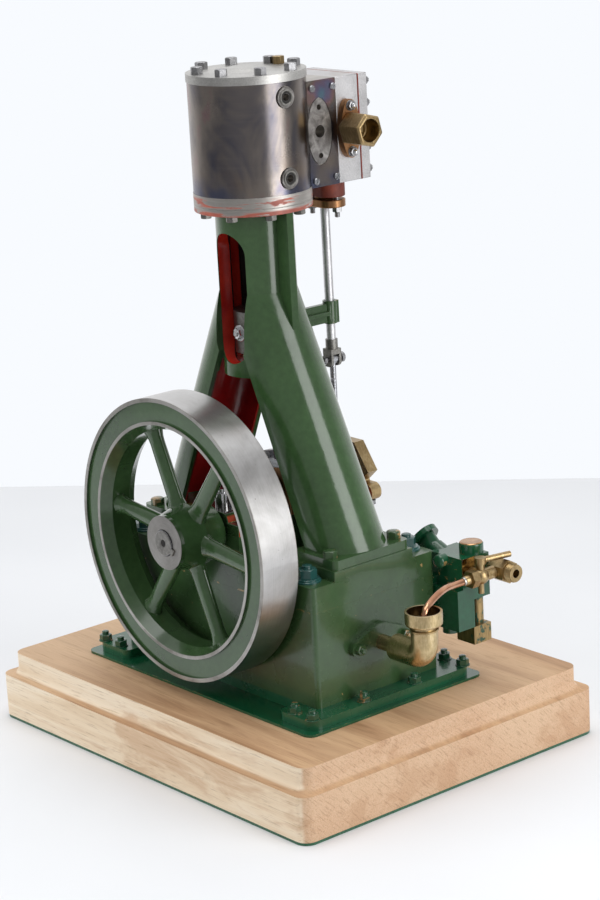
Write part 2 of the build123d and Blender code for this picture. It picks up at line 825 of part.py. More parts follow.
# Eccentric, turning with the crankshaft; its strap hangs on the sheave
sheave = rod_y(ecc_front + sheave_in, ecc_back - sheave_in, engine_x, ecc_z, ecc_r)
sheave += rod_y(box_y1 + sheave_hub_gap, ecc_front + sheave_in, engine_x, crank_z,
                shaft_r + sheave_hub_wall)
sheave -= rod_y(box_y1, ecc_back + cut_past, engine_x, crank_z, shaft_r)
save("eccentric_sheave", sheave)

strap_bore = rod_y(ecc_front - cut_past, ecc_back + cut_past, engine_x, ecc_z, ecc_r + run_gap)
strap = rod_y(ecc_front, ecc_back, engine_x, ecc_z, strap_r)
for sign in (-1, 1):
    strap += prism_y(link(engine_x, ecc_z, lug_r, engine_x + sign * lug_x, ecc_z, lug_r), ecc_front,
                     ecc_back)
foot_points = [(strap_corner_x, strap_corner_z), (strap_top_x, strap_top_z)]
foot_points += [(-x, z) for x, z in reversed(foot_points)]
foot_points += [(-strap_neck_x, strap_neck_z), (strap_neck_x, strap_neck_z)]
strap_foot = Polyline([(engine_x + x, z) for x, z in foot_points], close=True)
strap += prism_y(make_face(strap_foot), ecc_front, ecc_back)
strap -= strap_bore
strap_reach = lug_x + strap_corner_x
upper_half = between(engine_x - strap_reach, engine_x + strap_reach, ecc_front, ecc_back, ecc_z,
                     ecc_z + strap_reach)
save("eccentric_strap_upper", strap & upper_half)
save("eccentric_strap_lower", strap - upper_half)
ecc_rod = rod_z(strap_top_z, eye_foot - turn_gap, engine_x, valve_y, ecc_rod_r)
save("eccentric_rod", ecc_rod)

# Running gear; the rod is parted across the crank's arm, so its lower end clears the upper one all round
at_pin = Pos(pin_x, engine_y, pin_z) * Rot(0, -rod_tilt, 0)
across_arm = Pos(pin_x, engine_y, pin_z) * Rot(0, crank_angle, 0)
beyond_split = across_arm * Pos(0, 0, split_reach + con_len) * Box(2 * con_len, 2 * con_len, 2 * con_len)
beyond_gap = across_arm * Pos(0, 0, split_reach + turn_gap + con_len) * Box(2 * con_len, 2 * con_len,
                                                                          2 * con_len)
crosshead = rod_z(cross_bottom, cross_top, engine_x, engine_y, trunk_bore - run_gap)
eye_y = small_end_half + run_gap
crosshead -= between(engine_x - trunk_bore, engine_x + trunk_bore, engine_y - eye_y, engine_y + eye_y,
                     cross_bottom - cut_past, cross_z + small_end_r + small_end_room)
pin_hole = rod_y(engine_y - trunk_bore, engine_y + trunk_bore, engine_x, cross_z, cross_pin_r + seat_gap)
crosshead -= pin_hole
save("crosshead", crosshead)
pin_end = trunk_bore - cross_pin_in
save("crosshead_pin", rod_y(engine_y - pin_end, engine_y + pin_end, engine_x, cross_z, cross_pin_r))
save("piston_rod", rod_z(cross_top, bottom_cover_top, engine_x, engine_y, piston_rod_r))
rod_bar = at_pin * rod_z(palm_top, con_len, 0, 0, con_rod_r)
con_rod = rod_bar & beyond_gap
con_rod += rod_y(engine_y - small_end_half, engine_y + small_end_half, engine_x, cross_z, small_end_r)
con_rod -= pin_hole
save("connecting_rod", con_rod)

# Big end on the crankpin
big = between(-big_half_x, big_half_x, -big_half_y, big_half_y, -big_half_z, big_half_z)
big -= rod_y(-web_in, web_in, 0, 0, pin_r + run_gap)
big_cut = between(-big_half_x, big_half_x, -big_half_y, big_half_y, 0, big_half_z)
save("big_end_upper", at_pin * (big & big_cut))
save("big_end_lower", at_pin * (big - big_cut))
palm = at_pin * between(-big_half_x, big_half_x, -big_half_y, big_half_y, big_half_z, palm_top)
palm += rod_bar - beyond_split
save("rod_palm", palm)

# Crankshaft and flywheel
crank = rod_y(shaft_front, engine_y - web_in, engine_x, crank_z, shaft_r)
crank += rod_y(engine_y + web_in, shaft_rear, engine_x, crank_z, shaft_r)
web_sketch = link(engine_x, crank_z, shaft_r + web_wall, pin_x, pin_z, pin_r + pin_wall)
crank += prism_y(web_sketch, engine_y - web_out, engine_y - web_in)
crank += prism_y(web_sketch, engine_y + web_in, engine_y + web_out)
crank += rod_y(engine_y - web_in, engine_y + web_in, pin_x, pin_z, pin_r)
save("crankshaft", crank)

bead_r = rim_in_r - rim_bead
rim_profile = Polyline([(rim_in_r, wheel_front), (wheel_r, wheel_front), (wheel_r, wheel_back),
                        (rim_in_r, wheel_back), (bead_r, wheel_back - rim_bead_slope),
                        (bead_r, wheel_front + rim_bead_slope)], close=True)
wheel = Pos(engine_x, 0, crank_z) * revolve(make_face(rim_profile), Axis.Y)
ring_out = wheel_r - rim_ring_out
ring_in = rim_in_r + rim_ring_in
for y_a, y_b in ((wheel_front - cut_past, wheel_front + rim_recess),
                 (wheel_back - rim_recess, wheel_back + cut_past)):
    band = rod_y(y_a, y_b, engine_x, crank_z, ring_out)
    wheel -= band - rod_y(y_a, y_b, engine_x, crank_z, ring_in)
spoke_y = (wheel_front + wheel_back) / 2
swell_r = hub_r + hub_swell
hub_profile = Polyline([(shaft_r, hub_front), (hub_r, hub_front), (hub_r, hub_front + hub_face),
                        (swell_r, spoke_y), (hub_r, hub_back), (shaft_r, hub_back)], close=True)
hub = Pos(engine_x, 0, crank_z) * revolve(make_face(hub_profile), Axis.Y)
spoke_start = hub_r
spoke_end = bead_r + weld_lap
flare_steps = (0, spoke_flare_len / 3, spoke_flare_len * 2 / 3, spoke_flare_len)
reaches = [spoke_start + step for step in flare_steps]
reaches += [spoke_end - step for step in reversed(flare_steps)]
sections = []
for reach in reaches:
    from_end = min(reach - spoke_start, spoke_end - reach)
    flare = spoke_flare * (1 - from_end / spoke_flare_len) ** 2
    taper = (reach - spoke_start) / (spoke_end - spoke_start)
    wide = spoke_w_hub + (spoke_w_rim - spoke_w_hub) * taper + flare
    across = Plane(origin=(reach, 0, 0), x_dir=(0, 0, 1), z_dir=(1, 0, 0))
    sections.append(across * Ellipse(wide / 2, (spoke_t + flare) / 2))
spoke = loft(sections, ruled=True)
for i in range(spoke_count):
    angle = spoke_phase + i * 360 / spoke_count
    hub += Pos(engine_x, spoke_y, crank_z) * Rot(0, -angle, 0) * spoke
wheel += hub
wheel -= rod_y(hub_front - cut_past, hub_back + cut_past, engine_x, crank_z, shaft_r)
save("flywheel", wheel)

# Return elbow with its cup
ear_y = return_flange_half_y - return_ear_r
rhombus = make_hull((Pos(engine_y, return_z) * Circle(return_flange_half_z)).edges()
                    + (Pos(engine_y - ear_y, return_z) * Circle(return_ear_r)).edges()
                    + (Pos(engine_y + ear_y, return_z) * Circle(return_ear_r)).edges())
stub_x = box_x1 + return_flange_t
return_flange = prism_x(rhombus, box_x1, stub_x)
return_flange -= rod_x(box_x1 - cut_past, stub_x + cut_past, engine_y, return_z,
                       return_stub_r - return_wall)
save("return_flange", return_flange)

elbow_x = stub_x + return_stub_len
elbow_path = FilletPolyline((elbow_x, engine_y, return_z), (return_axis_x, engine_y, return_z),
                            (return_axis_x, engine_y, cup_bottom - cup_neck_h), radius=return_bend)
elbow = sweep(Plane(origin=elbow_path @ 0, z_dir=elbow_path % 0) * Circle(return_pipe_r), path=elbow_path)
elbow += rod_x(stub_x, elbow_x + weld_lap, engine_y, return_z, return_stub_r)
elbow += rod_z(cup_bottom - cup_neck_h - weld_lap, cup_floor, return_axis_x, engine_y, cup_neck_r)
cup = rod_z(cup_bottom, cup_top, return_axis_x, engine_y, cup_r)
elbow += fillet(cup.edges().group_by(Axis.Z)[0], cup_round)
elbow -= rod_z(cup_floor, cup_top + cut_past, return_axis_x, engine_y, cup_bore_r)
save("return_elbow", elbow)

# Feed pump behind the box
pump = between(pump_x0, pump_x1, pump_y0, pump_y1, pump_step, pump_top)
pump += between(pump_x0, pump_x1, box_y1, pump_low_y1, pump_bottom, pump_top - pump_ledge)
pump += between(pump_x0, box_x1 - box_corner, box_y1, pump_y0, pump_pad_bottom, pump_pad_top)
pump += rod_y(pump_y0 - plug_h, pump_y0, plug_x, plug_z, plug_r)
pump += rod_z(pump_bottom - drain_plug_h, pump_bottom, pump_x1 - drain_plug_in_x,
              pump_y0 + drain_plug_in_y, drain_plug_r)
save("pump_body", pump)
cap = rod_z(pump_top, pump_top + pump_cap_h, pump_cap_x, pump_cap_y, pump_cap_r)
save("pump_cap", fillet(cap.edges().group_by(Axis.Z)[-1], pump_cap_round))
branch_at = Pos(pump_x0 + branch_sink, branch_y, branch_z) * Rot(0, -90 + branch_rise, 0)
branch = branch_at * Pos(0, 0, branch_boss_len / 2) * Cylinder(branch_r, branch_boss_len)
branch += branch_at * Pos(0, 0, branch_len / 2) * Cylinder(branch_pipe_r, branch_len - branch_flange_t)
face_at = branch_at * Pos(0, 0, branch_len) * Rot(0, branch_flange_tilt, 0)
branch += loft([branch_at * Pos(0, 0, branch_len - branch_cone) * Circle(branch_pipe_r),
                face_at * Ellipse(branch_flange_w, branch_pipe_r)])
branch += face_at * extrude(Ellipse(branch_flange_half, branch_flange_w), branch_flange_t)
for side in (-1, 1):
    hole_at = face_at * Pos(side * (branch_flange_half - branch_hole_in), 0, branch_flange_t / 2)
    branch -= hole_at * Cylinder(branch_hole_r, branch_flange_t + cut_past)
branch -= pump
save("pump_branch", branch)
inlet_fit = between(pump_x1 - foot_block_x, pump_x1, pump_low_y1 - weld_lap, pump_y1, foot_block_bottom,
                    pump_bottom)
inlet_fit += rod_z(pump_bottom, pump_step, neck_x, neck_y, neck_r)
save("pump_inlet", inlet_fit)

bypass = rod_x(pump_x1, valve_x, bypass_y, valve_z, valve_stub_r)
bypass += Pos(valve_x, bypass_y, valve_z) * Sphere(valve_body_r)
bypass += rod_z(valve_z, stem_top, valve_x, bypass_y, stem_r)
bypass += rod_z(valve_z - tail_drop, valve_z, valve_x, bypass_y, tail_r)
bypass += rod_y(bypass_y, outlet_y0, valve_x, valve_z, valve_stub_r)
save("bypass_valve", bypass)
nut_sketch = Pos(valve_x, valve_z) * RegularPolygon(pipe_nut_af / 2, 6, major_radius=False)
pipe_nut = prism_y(nut_sketch, bypass_y - pipe_nut_end, bypass_y - valve_body_r + pipe_nut_lap)
pipe_nut -= Pos(valve_x, bypass_y, valve_z) * Sphere(valve_body_r + seat_gap)
pipe_nut -= rod_y(bypass_y - pipe_nut_end - cut_past, bypass_y - pipe_nut_end + pipe_seat, valve_x,
                  valve_z, bypass_r + seat_gap)
save("bypass_union", pipe_nut)
outlet_y = (outlet_y0 + outlet_y1) / 2
outlet_sketch = Pos(outlet_y, valve_z) * RegularPolygon(outlet_len_y / 2, 6, major_radius=False, rotation=30)
outlet = prism_x(outlet_sketch, outlet_x0, outlet_x1)
outlet += rod_x(outlet_x1, outlet_end, outlet_y, valve_z, nozzle_r)
outlet -= rod_x(outlet_end - outlet_bore_depth, outlet_end + cut_past, outlet_y, valve_z, outlet_bore_r)
save("feed_outlet", outlet)
lever_z = stem_top + run_gap
lever = rod_y(0, lever_len, 0, lever_h / 2, lever_r)
lever = Pos(valve_x, bypass_y, lever_z) * Rot(0, 0, -lever_rest) * lever
lever += rod_z(lever_z, lever_z + lever_h, valve_x, bypass_y, lever_hub_r)
save("bypass_lever", lever)

pipe_start = bypass_y - pipe_nut_end + pipe_seat - seat_gap
pipe_bend = bypass_y - pipe_nut_end - pipe_lead
pipe_path = Line((valve_x, pipe_start, valve_z), (valve_x, pipe_bend, valve_z))
pipe_path += Spline((valve_x, pipe_bend, valve_z),
                    (valve_x + pipe_swing, engine_y + pipe_swing_y, valve_z + pipe_crest),
                    (return_axis_x - pipe_fall_x, engine_y + pipe_fall_y, valve_z - pipe_fall_z),
                    (return_axis_x, engine_y, cup_top - pipe_dip),
                    tangents=[(0, -1, 0), (0, -0.25, -1)])
pipe = sweep(Plane(origin=pipe_path @ 0, z_dir=pipe_path % 0) * Circle(bypass_r), path=pipe_path)
save("bypass_pipe", pipe)
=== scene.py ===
"""Looks of the model steam engine: materials, fasteners, camera, floor and light."""
import json
import math

import bmesh
import bpy
from mathutils import Matrix, Vector


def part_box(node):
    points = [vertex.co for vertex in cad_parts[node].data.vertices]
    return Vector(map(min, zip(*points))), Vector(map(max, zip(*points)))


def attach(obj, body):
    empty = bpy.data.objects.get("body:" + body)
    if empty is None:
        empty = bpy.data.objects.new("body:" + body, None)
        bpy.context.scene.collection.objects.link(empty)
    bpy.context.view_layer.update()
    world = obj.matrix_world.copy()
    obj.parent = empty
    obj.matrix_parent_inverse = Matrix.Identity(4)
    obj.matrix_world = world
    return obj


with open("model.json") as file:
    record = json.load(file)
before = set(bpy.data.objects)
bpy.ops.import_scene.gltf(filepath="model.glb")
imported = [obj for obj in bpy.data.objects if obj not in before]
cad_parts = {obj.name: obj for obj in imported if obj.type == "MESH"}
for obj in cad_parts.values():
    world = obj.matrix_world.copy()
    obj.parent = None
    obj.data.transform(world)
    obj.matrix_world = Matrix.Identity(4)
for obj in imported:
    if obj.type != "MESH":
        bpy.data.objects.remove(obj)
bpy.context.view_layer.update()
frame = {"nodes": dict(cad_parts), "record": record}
nodes = frame["nodes"]
record = frame["record"]
scene = bpy.context.scene
MM = 0.001


def low(node):
    """Lowest corner of a node in millimetres."""
    return Vector(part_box(node)[0]) / MM


def high(node):
    """Highest corner of a node in millimetres."""
    return Vector(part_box(node)[1]) / MM


def mid(node):
    """Centre of a node's box in millimetres."""
    return (low(node) + high(node)) / 2


# Directions in the row frame
UP, DOWN = Vector((0, 0, 1)), Vector((0, 0, -1))
EAST, WEST = Vector((1, 0, 0)), Vector((-1, 0, 0))
NORTH, SOUTH = Vector((0, 1, 0)), Vector((0, -1, 0))
SIDES = (-1, 1)

# Places in the row frame, in millimetres, read from the joints, the mounts and the nodes' boxes
pivots = {j["name"]: Vector(j["pos_m"]) / MM for j in record["behaviour"]["joints"]}
mounts = {m["name"]: m for m in record["mounts"]}
EX, EY, CRANK_Z = pivots["flywheel_turn"]
PIN, STRAP = pivots["big_end_turn"], pivots["strap_turn"]
CROSS_PIN, FORK_PIN = mid("crosshead_pin"), mid("fork_pin")
BOX_TOP, TRUNK_TOP = high("base_box").z, high("column").z
BOTTOM_COVER_Z, TOP_COVER_Z = high("cylinder_bottom_cover").z, low("cover_plug").z
EXHAUST = Vector(mounts["exhaust_port"]["pos_m"]) / MM
PORT_X, INLET = low("steam_inlet_flange").x, mid("steam_inlet_flange")
WHEEL_R = (high("flywheel").z - low("flywheel").z) / 2
HUB_FRONT = low("flywheel").y

# Sizes and places in millimetres that the boxes do not give
CUP_R = 11.4
CUP_X, CUP_TOP = high("return_elbow").x - CUP_R, high("return_elbow").z
RIM_IN = WHEEL_R - 16.6
WHEEL_FRONT, WHEEL_BACK = HUB_FRONT + 4.4, HUB_FRONT + 31.4
FLANGE_TOP, SOLE_TOP, FOOT_TOP, LEG_TOP = 51.7, 127.9, 140.0, 290.0
TRUNK_BOTTOM, TRUNK_R, TRUNK_BORE = 238.0, 24.0, 16.5
LEG_SLOPE, LEG_FLARE, LEG_IN = 0.45267, 0.01333, 19.5
DRAIN_BOSS_X = EX + 36.4
CAP_TOP = 152.8

# View of the photograph, in radians
CAM_AZ, CAM_EL, CAM_ROLL = 0.8827623, 0.2713945, -0.0556294
TO_CAM = Vector((math.sin(CAM_AZ), -math.cos(CAM_AZ), 0))
RIGHT = Vector((math.cos(CAM_AZ), math.sin(CAM_AZ), 0))


def lin(code):
    """Linear colour of an sRGB hex code."""
    out = []
    for i in (0, 2, 4):
        c = int(code[i:i + 2], 16) / 255
        out.append(c / 12.92 if c <= 0.04045 else ((c + 0.055) / 1.055) ** 2.4)
    return (*out, 1.0)


class Shade:
    """A principled material with short calls for its nodes."""

    def __init__(self, name, rough=0.4, metallic=0.0, **sockets):
        self.mat = bpy.data.materials.new(name)
        self.mat.use_nodes = True
        self.tree = self.mat.node_tree
        self.bsdf = self.tree.nodes["Principled BSDF"]
        self.bsdf.inputs["Roughness"].default_value = rough
        self.bsdf.inputs["Metallic"].default_value = metallic
        for key, value in sockets.items():
            self.bsdf.inputs[key.replace("_", " ").title()].default_value = value
        self.obj = self.node("ShaderNodeTexCoord").outputs["Object"]
        self.relief = None

    def node(self, kind, **props):
        n = self.tree.nodes.new(kind)
        for key, value in props.items():
            setattr(n, key, value)
        return n

    def put(self, socket, value):
        if isinstance(value, bpy.types.NodeSocket):
            self.tree.links.new(value, socket)
        else:
            socket.default_value = value

    def math(self, op, a, b=0.0, clamp=False):
        n = self.node("ShaderNodeMath", operation=op, use_clamp=clamp)
        self.put(n.inputs[0], a)
        self.put(n.inputs[1], b)
        return n.outputs[0]

    def plus(self, a, b):
        return self.math("ADD", a, b)

    def minus(self, a, b):
        return self.math("SUBTRACT", a, b)

    def times(self, a, b):
        return self.math("MULTIPLY", a, b)

    def length(self, a, b):
        return self.math("SQRT", self.plus(self.times(a, a), self.times(b, b)))

    def radius(self, u, v, cu, cv):
        """Distance of two coordinates from a centre in metres."""
        return self.length(self.minus(u, cu), self.minus(v, cv))

    def angle(self, u, v, cu, cv):
        """Angle of two coordinates about a centre in metres."""
        return self.math("ARCTAN2", self.minus(v, cv), self.minus(u, cu))

    def split(self, vec=None):
        n = self.node("ShaderNodeSeparateXYZ")
        self.put(n.inputs[0], vec or self.obj)
        return n.outputs

    def join(self, x, y, z):
        n = self.node("ShaderNodeCombineXYZ")
        for socket, value in zip(n.inputs, (x, y, z)):
            self.put(socket, value)
        return n.outputs[0]

    def facing(self):
        """The surface's own direction, split along the axes."""
        return self.split(self.node("ShaderNodeNewGeometry").outputs["Normal"])

    def stretch(self, scale):
        n = self.node("ShaderNodeMapping")
        self.put(n.inputs["Vector"], self.obj)
        n.inputs["Scale"].default_value = scale
        return n.outputs[0]

    def noise(self, scale, detail=4.0, rough=0.55, warp=0.0, vec=None):
        """Noise at one scale or a scale for each axis, over the object or given coordinates."""
        if isinstance(scale, tuple):
            vec = self.stretch(scale)
            scale = 1.0
        n = self.node("ShaderNodeTexNoise")
        self.put(n.inputs["Vector"], vec or self.obj)
        n.inputs["Scale"].default_value = scale
        n.inputs["Detail"].default_value = detail
        n.inputs["Roughness"].default_value = rough
        n.inputs["Distortion"].default_value = warp
        return n.outputs["Fac"]

    def ramp(self, fac, *stops):
        """Colours by hex code along a value."""
        n = self.node("ShaderNodeValToRGB")
        while len(n.color_ramp.elements) < len(stops):
            n.color_ramp.elements.new(0.5)
        for element, (place, code) in zip(n.color_ramp.elements, stops):
            element.position = place
            element.color = lin(code)
        self.put(n.inputs[0], fac)
        return n.outputs[0]

    def mix(self, fac, a, b):
        n = self.node("ShaderNodeMix", data_type="RGBA")
        self.put(n.inputs[0], fac)
        self.put(n.inputs[6], lin(a) if isinstance(a, str) else a)
        self.put(n.inputs[7], lin(b) if isinstance(b, str) else b)
        return n.outputs[2]

    def tint(self, colour, other, mask, share):
        """A share of another colour, where the mask lets it through."""
        return self.mix(self.times(mask, share), colour, other)

    def blend(self, fac, a, b):
        n = self.node("ShaderNodeMix", data_type="FLOAT")
        self.put(n.inputs[0], fac)
        self.put(n.inputs[2], a)
        self.put(n.inputs[3], b)
        return n.outputs[0]

    def step(self, value, off, on):
        """0 at the first value, 1 at the second, smooth between."""
        n = self.node("ShaderNodeMapRange", interpolation_type="SMOOTHSTEP")
        self.put(n.inputs[0], value)
        n.inputs[1].default_value = off
        n.inputs[2].default_value = on
        return n.outputs[0]

    def gate(self, value, start, end, soft):
        """1 between start and end, with soft edges."""
        rise = self.step(value, start - soft, start + soft)
        fall = self.step(value, end - soft, end + soft)
        return self.math("SUBTRACT", rise, fall, True)

    def both(self, *masks):
        out = masks[0]
        for mask in masks[1:]:
            out = self.times(out, mask)
        return out

    def either(self, *masks):
        out = masks[0]
        for mask in masks[1:]:
            out = self.math("MAXIMUM", out, mask)
        return out

    def base(self):
        """The colour as made so far."""
        return self.bsdf.inputs["Base Color"].links[0].from_socket

    def color(self, value):
        self.put(self.bsdf.inputs["Base Color"], value)

    def roughness(self, value):
        self.put(self.bsdf.inputs["Roughness"], value)

    def metal(self, value):
        self.put(self.bsdf.inputs["Metallic"], value)

    def bump(self, height, strength, distance):
        """Relief, on top of any made before."""
        n = self.node("ShaderNodeBump")
        n.inputs["Strength"].default_value = strength
        n.inputs["Distance"].default_value = distance
        self.put(n.inputs["Height"], height)
        if self.relief:
            self.put(n.inputs["Normal"], self.relief)
        self.relief = n.outputs[0]
        self.put(self.bsdf.inputs["Normal"], self.relief)


# Colours from dark to light
GREEN = ("283F22", "334E2C", "3E5C36")
DEEP = ("0A3A22", "0F4A2E", "17593A")
OCHRE, PRIMER = "A8895A", "8A3320"


def paint(name, tones, wear=0.0, bare=OCHRE, rough=0.17):
    """Gloss paint with cloudy tone, orange peel and, if asked, chips down to the bare metal."""
    s = Shade(name, rough, coat_weight=0.35, coat_roughness=0.06)
    cloud = s.noise(16, 5, 0.6)
    fine = s.noise(240, 3, 0.6)
    colour = s.ramp(s.blend(0.3, cloud, fine), (0.3, tones[0]), (0.5, tones[1]), (0.72, tones[2]))
    s.roughness(s.blend(s.noise(45, 4), rough - 0.06, rough + 0.09))
    if wear:
        chips = s.noise(170, 6, 0.68, warp=0.4)
        patch = s.noise(34, 3, 0.5)
        worn = s.step(s.plus(chips, s.times(patch, 0.7)), 0.98 - wear, 1.03 - wear)
        colour = s.mix(worn, colour, s.ramp(fine, (0.3, "6F5A35"), (0.7, bare)))
    s.color(colour)
    s.bump(s.noise(900, 2), 0.05, 0.0003)
    s.bump(s.noise(60, 3), 0.08, 0.0008)
    return s


def metal(name, tones, rough=0.32, grain=(1400, 1400, 60), patina=None, amount=0.4, lines_bump=0.06):
    """Bare metal with fine tool lines, smudges and, if asked, a patina in patches."""
    s = Shade(name, rough, 1.0)
    lines = s.noise(grain, 3, 0.6)
    smudge = s.noise(38, 5, 0.62, warp=0.3)
    colour = s.ramp(s.blend(0.45, lines, smudge), (0.3, tones[0]), (0.52, tones[1]), (0.72, tones[2]))
    if patina:
        cloud = s.plus(s.noise(24, 6, 0.66, warp=0.6), s.times(smudge, 0.35))
        stain = s.step(cloud, 0.86 - amount * 0.4, 0.98 - amount * 0.25)
        colour = s.tint(colour, patina, stain, amount)
    s.color(colour)
    s.roughness(s.blend(smudge, rough - 0.1, rough + 0.16))
    s.bump(lines, lines_bump, 0.0003)
    s.bump(s.noise(420, 3), 0.05, 0.0003)
    return s


def red_oxide():
    """Matt red primer."""
    s = Shade("red_oxide_primer", 0.6)
    s.color(s.ramp(s.noise(60, 6, 0.65), (0.3, "4A1E15"), (0.5, "6C2C1E"), (0.75, "944632")))
    s.bump(s.noise(500, 3), 0.15, 0.0004)
    return s.mat


def jointing():
    """Red sheet of the chest's gasket."""
    s = Shade("jointing_sheet", 0.75)
    s.color(s.ramp(s.noise(300, 4), (0.3, "6A2419"), (0.7, "984030")))
    s.bump(s.noise(900, 2), 0.2, 0.0003)
    return s.mat


def green_felt():
    """Felt under the plinth."""
    s = Shade("green_felt", 0.95, sheen_weight=0.4)
    s.color(s.ramp(s.noise(700, 5, 0.7), (0.3, "1A4430"), (0.5, "285C41"), (0.72, "3C7657")))
    s.bump(s.noise(1500, 4, 0.8), 0.6, 0.0006)
    return s.mat


def painted_hole_shade():
    """Painted shade: near black standing in for the shade at the bottom of a hole."""
    s = Shade("painted_hole_shade", 0.7)
    s.color(s.ramp(s.noise(300, 3), (0.3, "0E0D0C"), (0.7, "231F1B")))
    return s.mat


def green_casting():
    """Green castings: darker foot flange, paint flaked off along the joint, a few chips."""
    s = paint("green_paint", GREEN, rough=0.26)
    z = s.split()[2]
    foot = s.step(z, (FLANGE_TOP + 0.6) * MM, (FLANGE_TOP + 0.1) * MM)
    deep = s.ramp(s.noise(16, 5, 0.6), (0.3, DEEP[0]), (0.5, DEEP[1]), (0.72, DEEP[2]))
    joint = s.gate(z, (BOX_TOP - 0.5) * MM, (BOX_TOP + 0.5) * MM, 0.2 * MM)
    crumbs = s.both(joint, s.step(s.noise(130, 5, 0.7), 0.55, 0.6))
    specks = s.step(s.noise(210, 3, 0.6), 0.715, 0.73)
    chips = s.both(specks, s.step(s.noise(19, 3), 0.5, 0.56))
    s.color(s.mix(s.either(crumbs, chips), s.mix(foot, s.base(), deep), OCHRE))
    return s.mat


def timber():
    """Unfinished wood, grain along X: brown top, paler towards the -X end; pale long sides and sawn
    pinkish end grain, lighter than the top partly by their grain and partly by painted sheen of light.
    """
    s = Shade("pale_timber", 0.6)
    x, y, z = s.split()
    face_x, face_y = s.facing()[:2]
    ring = s.noise((5, 70, 95), 6, 0.62, 0.8)
    pore = s.noise((45, 900, 900), 4, 0.7)
    tone = s.noise((3, 16, 16), 3, 0.5)
    worn = s.noise((9, 30, 34), 5, 0.65, 0.6)
    speck = s.noise(1300, 3, 0.5)
    slant = s.join(s.times(s.plus(y, z), 700), s.times(s.minus(y, z), 70), 0.0)
    saw = s.noise(1.0, 4, 0.65, vec=slant)
    top = s.ramp(ring, (0.3, "8C6542"), (0.44, "B18A66"), (0.58, "C5A07A"), (0.74, "A07850"))
    top = s.tint(top, "CDAE8B", s.step(tone, 0.42, 0.72), 0.45)
    top = s.tint(top, "D0B596", s.step(x, -40 * MM, -130 * MM), 0.5)
    # Painted light: the long sides and the end grain are lighter than the top partly from their own grain
    # and partly as painted sheen of the light on these faces.
    long_side_and_sheen = s.ramp(ring, (0.25, "D2B797"), (0.45, "E4D0B4"), (0.62, "ECDDC6"), (0.8, "D9C0A0"))
    long_side_and_sheen = s.tint(long_side_and_sheen, "B88E68", s.step(worn, 0.52, 0.66), 0.5)
    end = s.ramp(speck, (0.3, "C29C79"), (0.5, "CBA888"), (0.7, "D2B294"))
    end = s.tint(end, "D9BE9F", s.step(tone, 0.45, 0.7), 0.35)
    end = s.tint(end, "B08560", s.step(worn, 0.5, 0.64), 0.4)
    end = s.tint(end, "96704F", s.step(saw, 0.52, 0.66), 0.45)
    on_long = s.step(s.math("ABSOLUTE", face_y), 0.45, 0.75)
    on_end = s.step(s.math("ABSOLUTE", face_x), 0.45, 0.75)
    colour = s.mix(on_end, s.mix(on_long, top, long_side_and_sheen), end)
    colour = s.tint(colour, "8E6A48", s.step(pore, 0.52, 0.72), 0.5)
    grime = s.step(s.noise(20, 6, 0.7, warp=0.5), 0.62, 0.76)
    s.color(s.tint(colour, "8B6F50", grime, 0.3))
    s.roughness(s.blend(pore, 0.5, 0.75))
    s.bump(pore, 0.18, 0.0006)
    s.bump(ring, 0.1, 0.0008)
    return s.mat


def tempered_cladding():
    """Heat-blued sheet: brushed round the barrel, straw and blue low down, a bright patch by the port."""
    s = Shade("tempered_cladding", 0.25, 1.0)
    x, y, z = s.split()
    brush = s.noise((14, 14, 2300), 3, 0.65)
    temper = s.noise((24, 24, 17), 4, 0.55, 0.7)
    colour = s.ramp(temper, (0.24, "40424E"), (0.36, "5A5962"), (0.46, "76706E"), (0.54, "88807A"),
                    (0.62, "8C7676"), (0.7, "6C6876"), (0.8, "505E7C"))
    straw = s.both(s.step(z, 385 * MM, 356 * MM), s.step(s.noise(22, 3), 0.42, 0.62))
    colour = s.tint(colour, "8A7254", straw, 0.35)
    violet = s.both(s.step(z, 366 * MM, 353 * MM), s.step(s.noise(26, 3), 0.40, 0.55))
    colour = s.tint(colour, "4A5370", violet, 0.7)
    heat = s.radius(y, z, 28.5 * MM, 406 * MM)
    swirl = s.plus(heat, s.times(s.minus(s.noise(70, 3), 0.5), 16 * MM))
    patch = s.ramp(s.times(swirl, 50.0), (0.0, "6A969E"), (0.16, "6E8298"), (0.32, "786E88"),
                   (0.46, "8C7072"), (0.62, "766A5A"), (0.85, "55535A"))
    on_port = s.step(x, (PORT_X - 1.6) * MM, (PORT_X - 0.8) * MM)
    colour = s.mix(s.both(on_port, s.step(swirl, 15 * MM, 9 * MM)), colour, patch)
    s.color(s.tint(colour, "9A948F", s.step(brush, 0.5, 0.85), 0.25))
    s.roughness(s.blend(s.noise(50, 4), 0.16, 0.34))
    s.bump(brush, 0.08, 0.0003)
    return s.mat


